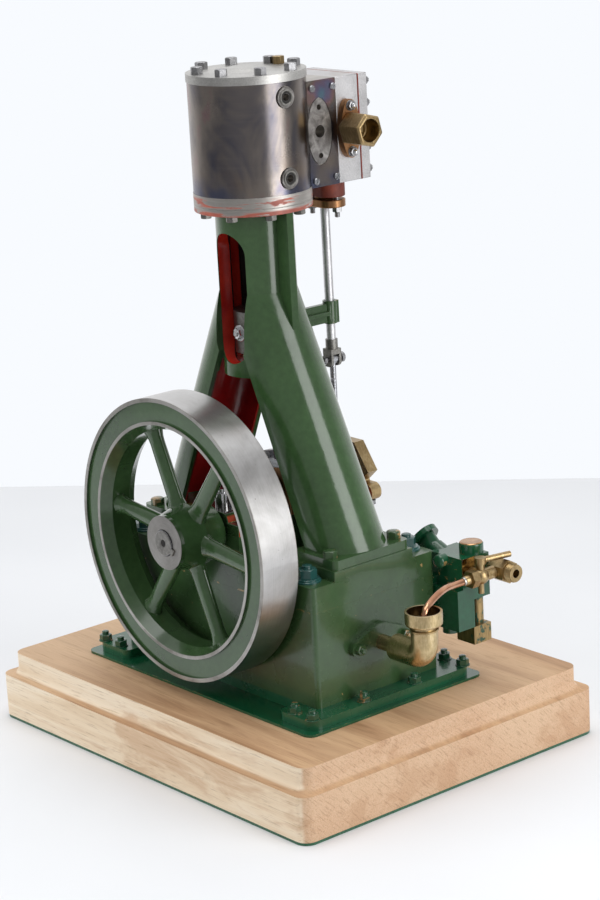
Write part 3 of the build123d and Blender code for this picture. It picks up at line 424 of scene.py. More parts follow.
def primed_iron():
    """Machined flanges with smears of orange-red primer in two bands, mottled pad and bosses."""
    s = metal("primed_iron", ("96938F", "B0ACA7", "C6C3BE"), 0.4, (60, 60, 2200), "7C766C", 0.25, 0.03)
    x, y, z = s.split()
    turn = s.angle(x, y, EX * MM, EY * MM)
    sweep = s.join(s.times(turn, 1.6), s.times(z, 260), 0.0)
    streak = s.noise(1.0, 5, 0.62, 0.5, sweep)
    high_band = s.gate(z, (BOTTOM_COVER_Z + 0.6) * MM, (BOTTOM_COVER_Z + 5.4) * MM, 0.8 * MM)
    low_band = s.gate(z, (TRUNK_TOP - 1.0) * MM, (TRUNK_TOP + 2.6) * MM, 0.7 * MM)
    spot = s.either(s.both(s.step(streak, 0.49, 0.58), high_band),
                    s.both(s.step(streak, 0.38, 0.48), low_band))
    primer = s.ramp(s.noise(160, 4), (0.3, PRIMER), (0.7, "B04E34"))
    on_pad = s.both(s.step(x, (EXHAUST.x + 6.6) * MM, (EXHAUST.x + 6.9) * MM),
                    s.gate(z, (EXHAUST.z - 20) * MM, (EXHAUST.z + 20) * MM, 0.5 * MM),
                    s.step(y, (EXHAUST.y - 22) * MM, (EXHAUST.y - 21) * MM))
    on_boss = s.step(x, (DRAIN_BOSS_X - 0.1) * MM, (DRAIN_BOSS_X + 0.1) * MM)
    mottle = s.ramp(s.noise(150, 5, 0.65, warp=0.5), (0.3, "4C4946"), (0.5, "757270"), (0.7, "9C9996"))
    ground = s.mix(s.either(on_pad, on_boss), s.base(), mottle)
    s.color(s.tint(ground, primer, spot, 0.9))
    s.metal(s.minus(1.0, spot))
    return s.mat


def wheel_paint_and_steel():
    """Flywheel: paint in the recess, on spokes and hub; turned steel on rim, rings and hub face."""
    s = paint("flywheel_paint_and_steel", ("273D22", "324C2B", "3D5935"), rough=0.16)
    x, y, z = s.split()
    reach = s.radius(x, z, EX * MM, CRANK_Z * MM)
    turn = s.angle(x, z, EX * MM, CRANK_Z * MM)
    on_front = s.step(y, (WHEEL_FRONT + 0.5) * MM, (WHEEL_FRONT + 0.3) * MM)
    on_back = s.step(y, (WHEEL_BACK - 0.5) * MM, (WHEEL_BACK - 0.3) * MM)
    in_rim = s.step(reach, (RIM_IN - 0.3) * MM, (RIM_IN + 0.1) * MM)
    tread = s.step(reach, (WHEEL_R - 0.5) * MM, (WHEEL_R - 0.3) * MM)
    rings = s.both(s.either(on_front, on_back), in_rim)
    boss = s.step(y, (HUB_FRONT + 0.4) * MM, (HUB_FRONT + 0.25) * MM)
    bare = s.either(tread, rings, boss)
    lathe = s.join(s.times(turn, 3.0), s.times(reach, 1800), s.times(y, 1800))
    turned = s.noise(1.0, 3, 0.6, vec=lathe)
    stain = s.noise(30, 5, 0.65, warp=0.4)
    tone = s.blend(0.78, turned, stain)
    bright = s.ramp(tone, (0.3, "A09E9C"), (0.5, "BAB9B8"), (0.7, "CCCCCC"))
    dull = s.ramp(tone, (0.3, "726F6C"), (0.5, "8E8B87"), (0.7, "A6A4A0"))
    stained = s.ramp(stain, (0.3, "6E6A63"), (0.5, "9C9994"), (0.7, "B4B2AE"))
    steel = s.mix(boss, s.mix(rings, bright, stained), dull)
    pits = s.step(s.noise(420, 3, 0.7), 0.69, 0.74)
    steel = s.tint(steel, "5A544B", pits, 0.6)
    # Painted shade: a dark ring on the hub face standing in for the shade in the groove round the shaft
    # end.
    groove_shade = s.both(boss, s.gate(reach, 7.9 * MM, 8.5 * MM, 0.1 * MM))
    s.color(s.mix(groove_shade, s.mix(bare, s.base(), steel), "2A2825"))
    s.metal(bare)
    gloss = s.blend(s.noise(45, 4), 0.1, 0.24)
    polish = s.blend(boss, s.blend(stain, 0.24, 0.38), 0.5)
    s.roughness(s.blend(bare, gloss, polish))
    s.bump(s.times(turned, bare), 0.015, 0.0003)
    return s.mat


def column_green_and_red():
    """Column: green outside, red inside the legs and on the slot's faces; the bore painted near black as
    shade, with one strip of it painted bright red as light.
    """
    s = paint("column_green_and_red", GREEN)
    x, y, z = s.split()
    fall = s.math("MAXIMUM", s.minus(LEG_TOP * MM, z), 0.0)
    aside = s.math("ABSOLUTE", s.minus(x, EX * MM))
    past = s.math("MAXIMUM", s.minus(aside, s.times(fall, LEG_SLOPE)), 0.0)
    reach = s.length(past, s.minus(y, EY * MM))
    wall = s.minus(s.minus(reach, LEG_IN * MM), s.times(fall, LEG_FLARE))
    over_foot = s.step(z, (FOOT_TOP + 0.2) * MM, (FOOT_TOP + 0.6) * MM)
    trunk_r = s.radius(x, y, EX * MM, EY * MM)
    trunk_turn = s.angle(x, y, EX * MM, EY * MM)
    in_trunk = s.step(z, (TRUNK_BOTTOM - 0.3) * MM, (TRUNK_BOTTOM + 0.3) * MM)
    shell = s.both(in_trunk, s.step(trunk_r, (TRUNK_R - 0.5) * MM, (TRUNK_R - 0.3) * MM))
    open_side = s.minus(1.0, shell)
    lined = s.both(s.step(wall, 0.8 * MM, 0.5 * MM), over_foot, open_side)
    brim = s.both(s.gate(wall, 0.6 * MM, 1.8 * MM, 0.3 * MM), over_foot, open_side)
    slot_wall = s.gate(trunk_r, (TRUNK_BORE + 0.4) * MM, (TRUNK_R - 0.6) * MM, 0.2 * MM)
    bore = s.both(in_trunk, s.step(trunk_r, (TRUNK_BORE + 0.5) * MM, (TRUNK_BORE + 0.3) * MM))
    red = s.ramp(s.noise(26, 5, 0.6), (0.3, "6A0C0F"), (0.5, "8C1416"), (0.75, "A31C1C"))
    bright_red = s.ramp(s.noise(60, 4), (0.3, "A5201A"), (0.7, "C83626"))
    colour = s.mix(brim, s.base(), "5A2A1E")
    colour = s.mix(lined, colour, red)
    colour = s.mix(s.both(in_trunk, slot_wall), colour, bright_red)
    # Painted shade and light: the bore is near black for the shade inside the trunk, and a strip of it
    # bright red as a painted lit strip.
    lit_strip = s.gate(trunk_turn, math.radians(-177), math.radians(-147), 0.04)
    dark = s.ramp(s.noise(90, 4), (0.3, "141010"), (0.7, "2C2020"))
    s.color(s.mix(bore, colour, s.mix(lit_strip, dark, bright_red)))
    return s.mat


def bearing_cap_paint():
    """Bearing cap: machined top, primed side towards the inlet, green elsewhere."""
    s = paint("bearing_cap_paint", ("22371E", "2C4426", "36502E"))
    face_x, _, face_z = s.facing()
    z = s.split()[2]
    top_face = s.both(s.step(face_z, 0.8, 0.95), s.step(z, (CAP_TOP - 0.3) * MM, (CAP_TOP + 0.2) * MM))
    primer = s.ramp(s.noise(90, 4), (0.3, PRIMER), (0.7, "B04A2C"))
    machined = s.ramp(s.noise(300, 4), (0.3, "6E6C68"), (0.7, "A09D98"))
    s.color(s.mix(top_face, s.mix(s.step(face_x, 0.7, 0.9), s.base(), primer), machined))
    s.metal(top_face)
    return s.mat


def pump_paint():
    """Pump body: dark green with the bare brass showing by the valve."""
    s = paint("pump_paint", DEEP, wear=-0.07, bare="A88A58", rough=0.15)
    x, y, z = s.split()
    end, top = high("pump_body").x, high("pump_body").z
    ragged = s.plus(z, s.times(s.noise(90, 4), 12 * MM))
    by_valve = s.both(s.step(x, (end - 0.6) * MM, (end - 0.2) * MM),
                      s.step(ragged, (top - 8.0) * MM, (top - 5.0) * MM),
                      s.step(y, 58 * MM, 54 * MM))
    s.color(s.mix(by_valve, s.base(), s.ramp(s.noise(120, 4), (0.3, "7E6640"), (0.7, "B0945F"))))
    s.metal(by_valve)
    return s.mat


def pump_cap_paint():
    """Pump cap: patchy paint on the side, bare top."""
    s = paint("pump_cap_paint", DEEP, wear=0.03, bare="7A4A30")
    top = high("pump_cap").z
    bare_top = s.step(s.split()[2], (top - 0.8) * MM, (top - 0.3) * MM)
    s.color(s.mix(bare_top, s.base(), s.ramp(s.noise(160, 5), (0.3, "8A6440"), (0.7, "C79C70"))))
    s.metal(bare_top)
    return s.mat


def flaked_brass():
    """Brass with flakes of green paint left on it."""
    s = metal("flaked_brass", ("7A6646", "A38B62", "C0AA80"), 0.36, (900, 900, 120), "5E5034")
    flakes = s.step(s.noise(110, 5, 0.65, warp=0.4), 0.56, 0.6)
    s.color(s.mix(flakes, s.base(), "1C4632"))
    s.metal(s.minus(1.0, flakes))
    return s.mat


def cup_brass():
    """Return cup: turned brass, darker deep inside."""
    s = metal("cup_brass", ("98865E", "C4AE84", "DECBA4"), 0.27, (900, 900, 300), "7A6844")
    x, y, z = s.split()
    reach = s.radius(x, y, CUP_X * MM, EY * MM)
    inside = s.both(s.step(z, (CUP_TOP - 6.4) * MM, (CUP_TOP - 6.1) * MM),
                    s.step(reach, (CUP_R - 1.2) * MM, (CUP_R - 1.5) * MM))
    s.color(s.tint(s.base(), "4A3520", inside, 0.85))
    return s.mat


# Every material by the key that nodes and pieces ask for
EVEN, FINE, TURNED = (700, 700, 700), (900, 900, 900), (900, 900, 120)
CAST = (1200, 1200, 1200)
mats = {
    "green_paint": green_casting(),
    "green_edge": paint("green_paint_edge", GREEN, 0.05, rough=0.2).mat,
    "dark_green_paint": paint("dark_green_paint", DEEP, rough=0.15).mat,
    "dark_green_edge": paint("dark_green_paint_edge", DEEP, 0.08, "B08A55", 0.2).mat,
    "nut_green": paint("painted_nut", ("12351F", "1C4630", "2C5A40"), 0.03, "8C6A46").mat,
    "ledge_nut": paint("worn_blue_green_nut", ("1B403C", "27524E", "3A6A66"), -0.02, "8A6A50").mat,
    "steel": metal("bright_steel", ("8A8B8E", "B0B1B5", "D2D3D8"), 0.24, (30, 30, 1500)).mat,
    "bright_steel": metal("polished_steel", ("A8A8AA", "CFCFD1", "E4E4E6"), 0.16, FINE).mat,
    "dull_steel": metal("dull_steel", ("63625F", "85837F", "A09E99"), 0.38, EVEN, "5A5448").mat,
    "bolt_steel": metal("bolt_steel", ("78787A", "9C9C9E", "BABABC"), 0.32, EVEN, "6C6864").mat,
    "rod_steel": metal("rod_steel", ("B4B4B6", "D2D2D4", "E6E6E8"), 0.42, FINE).mat,
    "machined_iron": metal("machined_iron", ("A09F9C", "BCBBB8", "D0CFCC"), 0.42, CAST, "8A857C", 0.3).mat,
    "chest_iron": metal("chest_iron", ("A6A5A6", "C2C1C2", "D6D5D6"), 0.4, CAST, "927E6C", 0.35).mat,
    "brass": metal("dull_brass", ("7E6C4A", "A89068", "C6B28A"), 0.3, TURNED, "66573A").mat,
    "bronze": metal("bronze", ("6E4E38", "98704E", "B48C68"), 0.36, TURNED, "6A4F3A").mat,
    "copper": metal("copper_pipe", ("A8745A", "C99676", "E3BCA0"), 0.16, (60, 60, 60), "9A664C", 0.3,
                    0.01).mat,
    "solder": metal("solder", ("8E8C88", "BDBBB6", "DAD8D3"), 0.26, (500, 500, 500)).mat,
    "red_oxide": red_oxide(),
    "gasket": jointing(),
    "felt": green_felt(),
    "painted_hole_shade": painted_hole_shade(),
    "wood": timber(),
    "blued_steel": tempered_cladding(),
    "primed_iron": primed_iron(),
    "flywheel": wheel_paint_and_steel(),
    "column": column_green_and_red(),
    "bearing_cap": bearing_cap_paint(),
    "pump_paint": pump_paint(),
    "pump_cap": pump_cap_paint(),
    "flaked_brass": flaked_brass(),
    "cup_brass": cup_brass(),
}


def clean_group(crease):
    """Geometry nodes that drop stored normals and shade smooth except at sharp edges."""
    g = bpy.data.node_groups.new("clean_shade", "GeometryNodeTree")
    g.interface.new_socket("Geometry", in_out="INPUT", socket_type="NodeSocketGeometry")
    g.interface.new_socket("Geometry", in_out="OUTPUT", socket_type="NodeSocketGeometry")
    source = g.nodes.new("NodeGroupInput")
    result = g.nodes.new("NodeGroupOutput")
    drop = g.nodes.new("GeometryNodeRemoveAttribute")
    drop.inputs["Name"].default_value = "custom_normal"
    soft = g.nodes.new("GeometryNodeSetShadeSmooth")
    hard = g.nodes.new("GeometryNodeSetShadeSmooth")
    hard.domain = "EDGE"
    hard.inputs["Shade Smooth"].default_value = False
    angle = g.nodes.new("GeometryNodeInputMeshEdgeAngle")
    over = g.nodes.new("FunctionNodeCompare")
    over.data_type = "FLOAT"
    over.operation = "GREATER_THAN"
    over.inputs[1].default_value = math.radians(crease)
    g.links.new(source.outputs[0], drop.inputs[0])
    g.links.new(drop.outputs[0], soft.inputs[0])
    g.links.new(soft.outputs[0], hard.inputs[0])
    g.links.new(angle.outputs["Unsigned Angle"], over.inputs[0])
    g.links.new(over.outputs[0], hard.inputs["Selection"])
    g.links.new(hard.outputs[0], result.inputs[0])
    return g


# Angles in degrees past which an edge stays sharp, on most nodes and on the column
EDGE, TRUNK_CREASE = 38, 13
CLEAN = {crease: clean_group(crease) for crease in (EDGE, TRUNK_CREASE)}


def clean(o, crease):
    """Welds a node's seams and shades it smooth up to the given angle."""
    weld = o.modifiers.new("weld", "WELD")
    weld.merge_threshold = 1e-6
    group = o.modifiers.new("clean", "NODES")
    group.node_group = CLEAN[crease]


def dress(name, key, bevel=0.0, edge=None):
    """Material for a CAD node, with softened edges, in millimetres, where asked."""
    o = nodes[name]
    o.data.materials.clear()
    o.data.materials.append(mats[key])
    if not bevel:
        return
    o.data.materials.append(mats[edge or key])
    clean(o, EDGE)
    bev = o.modifiers.new("bevel", "BEVEL")
    bev.width = bevel * MM
    bev.segments = 2
    bev.limit_method = "ANGLE"
    bev.angle_limit = math.radians(EDGE)
    bev.material = 1
    bev.use_clamp_overlap = True
    norm = o.modifiers.new("normals", "WEIGHTED_NORMAL")
    norm.keep_sharp = True


dress("base_felt", "felt")
dress("wood_plinth", "wood", 1.8)
dress("drip_tray", "dark_green_paint", 0.4, "dark_green_edge")
dress("base_box", "green_paint", 0.6, "green_edge")
dress("soleplate", "green_paint", 0.6, "green_edge")
dress("column", "column")
clean(nodes["column"], TRUNK_CREASE)
for n in ("front_bearing_cap", "rear_bearing_cap"):
    dress(n, "bearing_cap", 0.4, "green_edge")
for n in ("front_bearing_bush", "rear_bearing_bush", "big_end_upper", "big_end_lower"):
    dress(n, "bronze", 0.4)
for n in ("front_oil_cup", "rear_oil_cup"):
    dress(n, "bright_steel", 0.3)
dress("valve_rod", "rod_steel", 0.3)
for n in ("fork_pin", "eccentric_rod_eye", "eccentric_rod", "crosshead_pin", "piston_rod",
          "connecting_rod", "crankshaft"):
    dress(n, "steel", 0.3)
dress("valve_fork", "dull_steel", 0.4)
dress("rod_palm", "steel", 0.4)
for n in ("crosshead", "piston_gland"):
    dress(n, "dull_steel", 0.3)
dress("eccentric_sheave", "machined_iron", 0.3)
for n in ("steam_chest", "chest_cover"):
    dress(n, "chest_iron", 0.5)
dress("cylinder_top_cover", "machined_iron", 0.6)
dress("cover_plug", "brass", 0.3)
for n in ("cylinder", "cylinder_bottom_cover"):
    dress(n, "primed_iron", 0.4)
dress("cylinder_cladding", "blued_steel", 0.3)
dress("chest_gasket", "gasket", 0.1)
dress("steam_inlet_flange", "bronze", 0.6)
dress("steam_inlet_union", "brass", 0.6)
dress("valve_gland_body", "red_oxide", 0.6)
dress("valve_gland", "bronze", 0.5)
dress("valve_guide_bracket", "green_paint", 0.8, "green_edge")
for n in ("eccentric_strap_upper", "eccentric_strap_lower"):
    dress(n, "brass", 0.5)
dress("flywheel", "flywheel")
dress("return_flange", "green_paint", 0.6, "green_edge")
dress("return_elbow", "cup_brass", 0.5)
dress("pump_body", "pump_paint", 0.7, "dark_green_edge")
dress("pump_branch", "dark_green_paint", 0.7, "dark_green_edge")
dress("pump_cap", "pump_cap", 0.6, "dark_green_edge")
dress("pump_inlet", "flaked_brass", 0.4)
for n in ("bypass_valve", "bypass_union", "feed_outlet", "bypass_lever"):
    dress(n, "brass", 0.4)
dress("bypass_pipe", "copper")


def circle(r, z, count):
    """Points round the axis at one height."""
    turns = [2 * math.pi * i / count for i in range(count)]
    return [(r * math.cos(a), r * math.sin(a), z) for a in turns]


class Kit:
    """Gathers turned and hexagonal shapes, in millimetres, into one piece."""

    SHARP = math.radians(32)
    HEX_POINTS, HEX_CROWN, HEX_CHAMFER, HEX_TOP = 36, 0.95, 0.62, 0.5
    PITCH, THREAD = 0.8, 0.16
    SLOT_POINTS, SLOT_HALF = 18, 0.13

    def __init__(self, name, body, slot, *materials):
        self.name, self.body, self.slot = name, body, slot
        self.materials = materials
        self.bm = bmesh.new()

    def rings(self, rings, at, axis, spin=0.0, mat=0, loop=False):
        """Skin over rings of points that stand along an axis."""
        turn = axis.normalized().to_track_quat("Z", "Y").to_matrix().to_4x4()
        place = Matrix.Translation(Vector(at)) @ turn @ Matrix.Rotation(spin, 4, "Z")
        rows = []
        for ring in rings:
            rows.append([self.bm.verts.new((place @ Vector(p)) * MM) for p in ring])
        for a, b in zip(rows, rows[1:] + rows[:1] if loop else rows[1:]):
            count = max(len(a), len(b))
            for i in range(count):
                j = (i + 1) % count
                quad = [a[i % len(a)], a[j % len(a)], b[j % len(b)], b[i % len(b)]]
                face = self.bm.faces.new(list(dict.fromkeys(quad)))
                face.material_index = mat
                face.smooth = True

    def turned(self, profile, at, axis, count=28, mat=0):
        """Closed shape of revolution from (radius, height) points, first and last on the axis."""
        self.rings([circle(r, z, count if r else 1) for r, z in profile], at, axis, mat=mat)

    def band(self, section, at, axis, count=36, mat=0):
        """Closed ring from the (radius, height) points of its section."""
        self.rings([circle(r, z, count) for r, z in section], at, axis, mat=mat, loop=True)

    def hexagon(self, at, axis, flats, tall, spin=0.0, dome=0.0):
        """Hexagon head or nut with a turned chamfer, standing on a point."""
        flat = flats / 2
        crown = flat * self.HEX_CROWN
        foot, edge = [], []
        for i in range(self.HEX_POINTS):
            a = 2 * math.pi * i / self.HEX_POINTS
            reach = flat / math.cos((a + math.pi / 6) % (math.pi / 3) - math.pi / 6)
            drop = (reach - crown) * self.HEX_CHAMFER
            foot.append((reach * math.cos(a), reach * math.sin(a), 0))
            edge.append((reach * math.cos(a), reach * math.sin(a), tall - drop))
        top = circle(crown, tall, self.HEX_POINTS)
        inner = circle(flat * self.HEX_TOP, tall + dome, self.HEX_POINTS)
        self.rings([[(0, 0, 0)], foot, edge, top, inner, [(0, 0, tall + dome)]], at, axis, spin)

    def stud(self, at, axis, r, start, end):
        """Threaded end from start to end along the axis."""
        profile = [(0, start), (r, start)]
        z = start + self.PITCH / 2
        while z < end - self.PITCH:
            profile += [(r - self.THREAD, z), (r, z + self.PITCH / 2)]
            z += self.PITCH
        profile += [(r - 0.05, end - 0.35), (r * 0.7, end), (0, end)]
        self.turned(profile, at, axis, 20)

    def washer(self, at, axis, r, t):
        self.turned([(0, 0), (r, 0), (r, t * 0.7), (r - t * 0.3, t), (0, t)], at, axis, 32)

    def key(self, lo, hi, round_by, centre, turn):
        """Small block with softened edges, turned about the Y axis through a centre."""
        part = bmesh.new()
        bmesh.ops.create_cube(part, size=1.0)
        middle = [(a + b) / 2 for a, b in zip(lo, hi)]
        for v in part.verts:
            v.co = Vector([m + c * (b - a) for m, c, a, b in zip(middle, v.co, lo, hi)])
        bmesh.ops.bevel(part, geom=part.edges[:], offset=round_by, segments=2, affect="EDGES", profile=0.6)
        rotation = Matrix.Rotation(turn, 3, "Y")
        made = {v: self.bm.verts.new((centre + rotation @ (v.co - centre)) * MM) for v in part.verts}
        for face in part.faces:
            self.bm.faces.new([made[v] for v in face.verts])
        part.free()

    def slotted(self, at, axis, r, tall, spin=0.0):
        """Cheese-head screw with a sawn slot, as two half heads and the slot's floor."""
        half = r * self.SLOT_HALF
        start = math.asin(half / r)
        sweep = math.pi - 2 * start
        arc = [start + sweep * i / self.SLOT_POINTS for i in range(self.SLOT_POINTS + 1)]
        rim = [(r * math.cos(a), r * math.sin(a)) for a in arc]
        foot = [(x, y, 0) for x, y in rim]
        edge = [(x, y, tall * 0.72) for x, y in rim]
        top = [(x * 0.86, max(y * 0.86, half), tall) for x, y in rim]
        for turn in (0, math.pi):
            self.rings([[(0, r / 2, 0)], foot, edge, top, [(0, r / 2, tall)]], at, axis, spin + turn)
        self.turned([(0, 0), (r * 0.92, 0), (r * 0.92, tall * 0.4), (0, tall * 0.4)], at, axis, 24)

    def done(self):
        bmesh.ops.recalc_face_normals(self.bm, faces=self.bm.faces[:])
        mesh = bpy.data.meshes.new(self.name)
        self.bm.to_mesh(mesh)
        self.bm.free()
        mesh.set_sharp_from_angle(angle=self.SHARP)
        for key in self.materials:
            mesh.materials.append(mats[key])
        o = bpy.data.objects.new(self.name, mesh)
        scene.collection.objects.link(o)
        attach(o, self.body)


def corners(x, y, z):
    """Four places about the engine's axis."""
    return [Vector((EX + a * x, EY + b * y, z)) for a in SIDES for b in SIDES]


# Holding-down nuts on the base flange, none where it is cut away on the flywheel's side
FLANGE_END_X, FLANGE_IN_X, FLANGE_BACK_X = 104.2, 87.6, 35.0
FLANGE_SIDE_Y, FLANGE_MID_Y = 61.5, 20.6
spots = [(a * FLANGE_END_X, b * y) for a in SIDES for b in SIDES for y in (FLANGE_SIDE_Y, FLANGE_MID_Y)]
spots += [(a * FLANGE_IN_X, b * FLANGE_SIDE_Y) for a in SIDES for b in SIDES]
spots += [(a * FLANGE_BACK_X, FLANGE_SIDE_Y) for a in SIDES]
kit = Kit("flange_nuts", "engine", "dark_green_paint", "nut_green")
for i, (x, y) in enumerate(spots):
    at = Vector((EX + x, EY + y, FLANGE_TOP))
    kit.washer(at, UP, r=4.6, t=0.7)
    kit.hexagon(at + 0.6 * UP, UP, flats=7.0, tall=3.6, spin=0.4 + 0.7 * i)
    kit.stud(at, UP, r=2.3, start=3.4, end=6.6)
kit.done()

# Bolts in the column feet
FOOT_BOLT_X, FOOT_BOLT_Y = 85.4, 25.6
kit = Kit("foot_bolts", "engine", "green_paint", "green_edge")
for i, at in enumerate(corners(FOOT_BOLT_X, FOOT_BOLT_Y, FOOT_TOP)):
    kit.hexagon(at, UP, flats=7.6, tall=4.4, spin=0.5 + 0.9 * i, dome=0.3)
kit.done()

# Large studs and nuts on the soleplate's ledges
LEDGE_NUT_X, LEDGE_NUT_Y = 80.6, 40.2
kit = Kit("ledge_nuts", "engine", "green_paint", "ledge_nut")
for i, at in enumerate(corners(LEDGE_NUT_X, LEDGE_NUT_Y, SOLE_TOP)):
    kit.washer(at, UP, r=8.4, t=1.3)
    kit.washer(at + 1.3 * UP, UP, r=7.4, t=1.0)
    kit.hexagon(at + 2.3 * UP, UP, flats=10.4, tall=5.8, spin=0.2 + 0.5 * i)
    kit.stud(at, UP, r=3.0, start=7.9, end=10.2)
kit.done()

# Studs and nuts of the main bearing caps
BEARING_STUD_X, BEARING_Y, BEARING_SEAT = 22.0, 37.75, 7.0
kit = Kit("bearing_cap_nuts", "engine", "steel", "bolt_steel")
for at in corners(BEARING_STUD_X, BEARING_Y, CRANK_Z + BEARING_SEAT):
    kit.washer(at, UP, r=4.7, t=0.7)
    kit.hexagon(at + 0.7 * UP, UP, flats=7.4, tall=4.0, spin=0.3)
    kit.stud(at, UP, r=2.3, start=4.5, end=8.2)
kit.done()


def round_cylinder(r, degrees, z):
    """Point on a circle about the cylinder, counted from the side that faces the camera."""
    a = math.radians(degrees)
    return Vector((EX, EY, z)) + r * (math.cos(a) * TO_CAM + math.sin(a) * RIGHT)


# Bolts round the cylinder covers
COVER_BOLTS = 8
COVER_STEP = 360 / COVER_BOLTS
TOP_BOLT_R, TOP_BOLT_FIRST = 30.4, 17.0
BOTTOM_BOLT_R, BOTTOM_BOLT_FIRST = 30.6, 19.5
kit = Kit("top_cover_bolts", "engine", "machined_iron", "bolt_steel")
for i in range(COVER_BOLTS):
    at = round_cylinder(TOP_BOLT_R, TOP_BOLT_FIRST + COVER_STEP * i, TOP_COVER_Z)
    kit.hexagon(at, UP, flats=6.8, tall=4.4, spin=0.7 * i, dome=0.1)
kit.done()
kit = Kit("bottom_cover_bolts", "engine", "machined_iron", "dull_steel")
for i in range(COVER_BOLTS):
    at = round_cylinder(BOTTOM_BOLT_R, BOTTOM_BOLT_FIRST + COVER_STEP * i, TRUNK_TOP)
    kit.hexagon(at, DOWN, flats=6.4, tall=3.6, spin=0.9 * i, dome=0.2)
kit.done()

# Steam chest cover studs, on the far side
CHEST_BACK, CHEST_STUD_X = high("chest_cover").y, 20.5
CHEST_ROWS = (354.6, 368.2, 381.7, 395.2, 408.8)
spots = [(a * CHEST_STUD_X, z) for a in SIDES for z in CHEST_ROWS]
spots += [(0.0, CHEST_ROWS[0]), (0.0, CHEST_ROWS[-1])]
kit = Kit("chest_cover_nuts", "engine", "steel", "bolt_steel")
for x, z in spots:
    at = (EX + x, CHEST_BACK, z)
    kit.hexagon(at, NORTH, flats=5.6, tall=3.0, spin=0.4 + z)
    kit.stud(at, NORTH, r=1.7, start=2.8, end=5.0)
kit.done()

# Slotted screws that hold the cladding and the chest: place along Y, height and turn
SCREWS = ((20.5, 409.4, 0.5), (20.5, 353.2, 1.2), (37.0, 409.0, 0.2), (37.0, 354.2, 0.9))
kit = Kit("cladding_screws", "engine", "steel", "steel")
for y, z, spin in SCREWS:
    kit.slotted((PORT_X, y, z), EAST, r=2.2, tall=1.5, spin=spin)
    kit.slotted((2 * EX - PORT_X, y, z), WEST, r=2.2, tall=1.5, spin=spin + 0.4)
kit.done()

# Threaded bushes in the drain bosses, the inner ring near black as painted shade of the hole
BUSH_RING = ((4.9, 0), (4.9, 0.35), (4.5, 0.6), (4.0, 0.6), (3.7, 0.3), (3.7, 0))
BUSH_THREAD = ((3.7, 0), (3.7, 0.2), (2.4, 0.1), (2.4, 0))
kit = Kit("drain_bushes", "engine", "machined_iron", "dull_steel", "painted_hole_shade")
for name in ("drain_upper", "drain_lower"):
    face = Vector(mounts[name]["pos_m"]) / MM + mounts[name]["dims"]["length_mm"] / 2 * EAST
    kit.band(BUSH_RING, face, EAST)
    kit.band(BUSH_THREAD, face, EAST, mat=1)
kit.done()

# Nuts of the inlet flange, with polished stud ends
INLET_FACE, INLET_STUD = high("steam_inlet_flange").x, 14.1
STUD_END = ((0, 2.4), (1.6, 2.4), (1.6, 3.6), (1.2, 4.2), (0.6, 4.5), (0, 4.6))
kit = Kit("inlet_flange_nuts", "engine", "steel", "bolt_steel", "bright_steel")
for side in SIDES:
    at = (INLET_FACE, INLET.y, INLET.z + side * INLET_STUD)
    kit.washer(at, EAST, r=3.3, t=0.5)
    kit.hexagon(at, EAST, flats=5.0, tall=2.6, spin=0.5)
    kit.turned(STUD_END, at, EAST, 20, 1)
kit.done()

# Nuts of the valve gland, with the studs above its plate
GLAND_LOW, GLAND_PLATE, GLAND_GAP, GLAND_STUD_X = low("valve_gland").z, 4.8, 1.7, 11.8
kit = Kit("valve_gland_nuts", "engine", "steel", "bolt_steel")
for side in SIDES:
    at = Vector((EX + side * GLAND_STUD_X, FORK_PIN.y, GLAND_LOW))
    kit.hexagon(at, DOWN, flats=5.4, tall=3.0, spin=0.3)
    kit.stud(at, DOWN, r=1.7, start=2.8, end=6.4)
    kit.stud(at + GLAND_PLATE * UP, UP, r=1.7, start=0.0, end=GLAND_GAP)
kit.done()

# Nuts of the return flange
RETURN_STUD_Y = 18.5
kit = Kit("return_flange_nuts", "engine", "green_paint", "green_edge")
for side in SIDES:
    at = (high("return_flange").x, EY + side * RETURN_STUD_Y, mid("return_flange").z)
    kit.hexagon(at, EAST, flats=6.0, tall=3.2, spin=0.4)
    kit.stud(at, EAST, r=1.8, start=3.0, end=5.4)
kit.done()

# Piston gland studs and the crosshead pin's nut, seen in the trunk's slot
PISTON_GLAND_STUD_X = 8.2
kit = Kit("piston_gland_nuts", "engine", "steel", "bolt_steel")
for side in SIDES:
    at = (EX + side * PISTON_GLAND_STUD_X, EY, low("piston_gland").z)
    kit.hexagon(at, DOWN, flats=4.8, tall=2.8)
    kit.stud(at, DOWN, r=1.5, start=2.6, end=9.0)
kit.done()
kit = Kit("crosshead_pin_nut", "engine", "steel", "bright_steel")
at = (EX, low("crosshead").y, CROSS_PIN.z)
kit.washer(at, SOUTH, r=5.2, t=0.8)
kit.hexagon(at, SOUTH, flats=6.2, tall=3.4, spin=0.3)
kit.stud(at, SOUTH, r=1.9, start=3.2, end=4.4)
kit.done()

# Head and nut of the fork's pin
PIN_HEAD = ((0, 0), (3.4, 0), (3.4, 2.1), (3.0, 2.5), (1.4, 2.5), (1.2, 2.2), (0, 2.2))
kit = Kit("fork_pin_nut", "engine", "steel", "bolt_steel")
kit.turned(PIN_HEAD, (EX, high("fork_pin").y, FORK_PIN.z), NORTH)
kit.hexagon((EX, low("fork_pin").y, FORK_PIN.z), SOUTH, flats=5.2, tall=2.0, spin=0.1, dome=0.2)
kit.done()

# Domed bolt that holds the valve guide to the column
GUIDE_BOLT_Y, GUIDE_BOLT_Z = 19.5, 251.0
GUIDE_DOME = ((0, 0), (3.9, 0), (3.9, 1.0), (3.4, 1.9), (2.2, 2.5), (0, 2.8))
kit = Kit("guide_bolt", "engine", "steel", "bolt_steel")
kit.turned(GUIDE_DOME, (EX, GUIDE_BOLT_Y, GUIDE_BOLT_Z), NORTH)
kit.done()

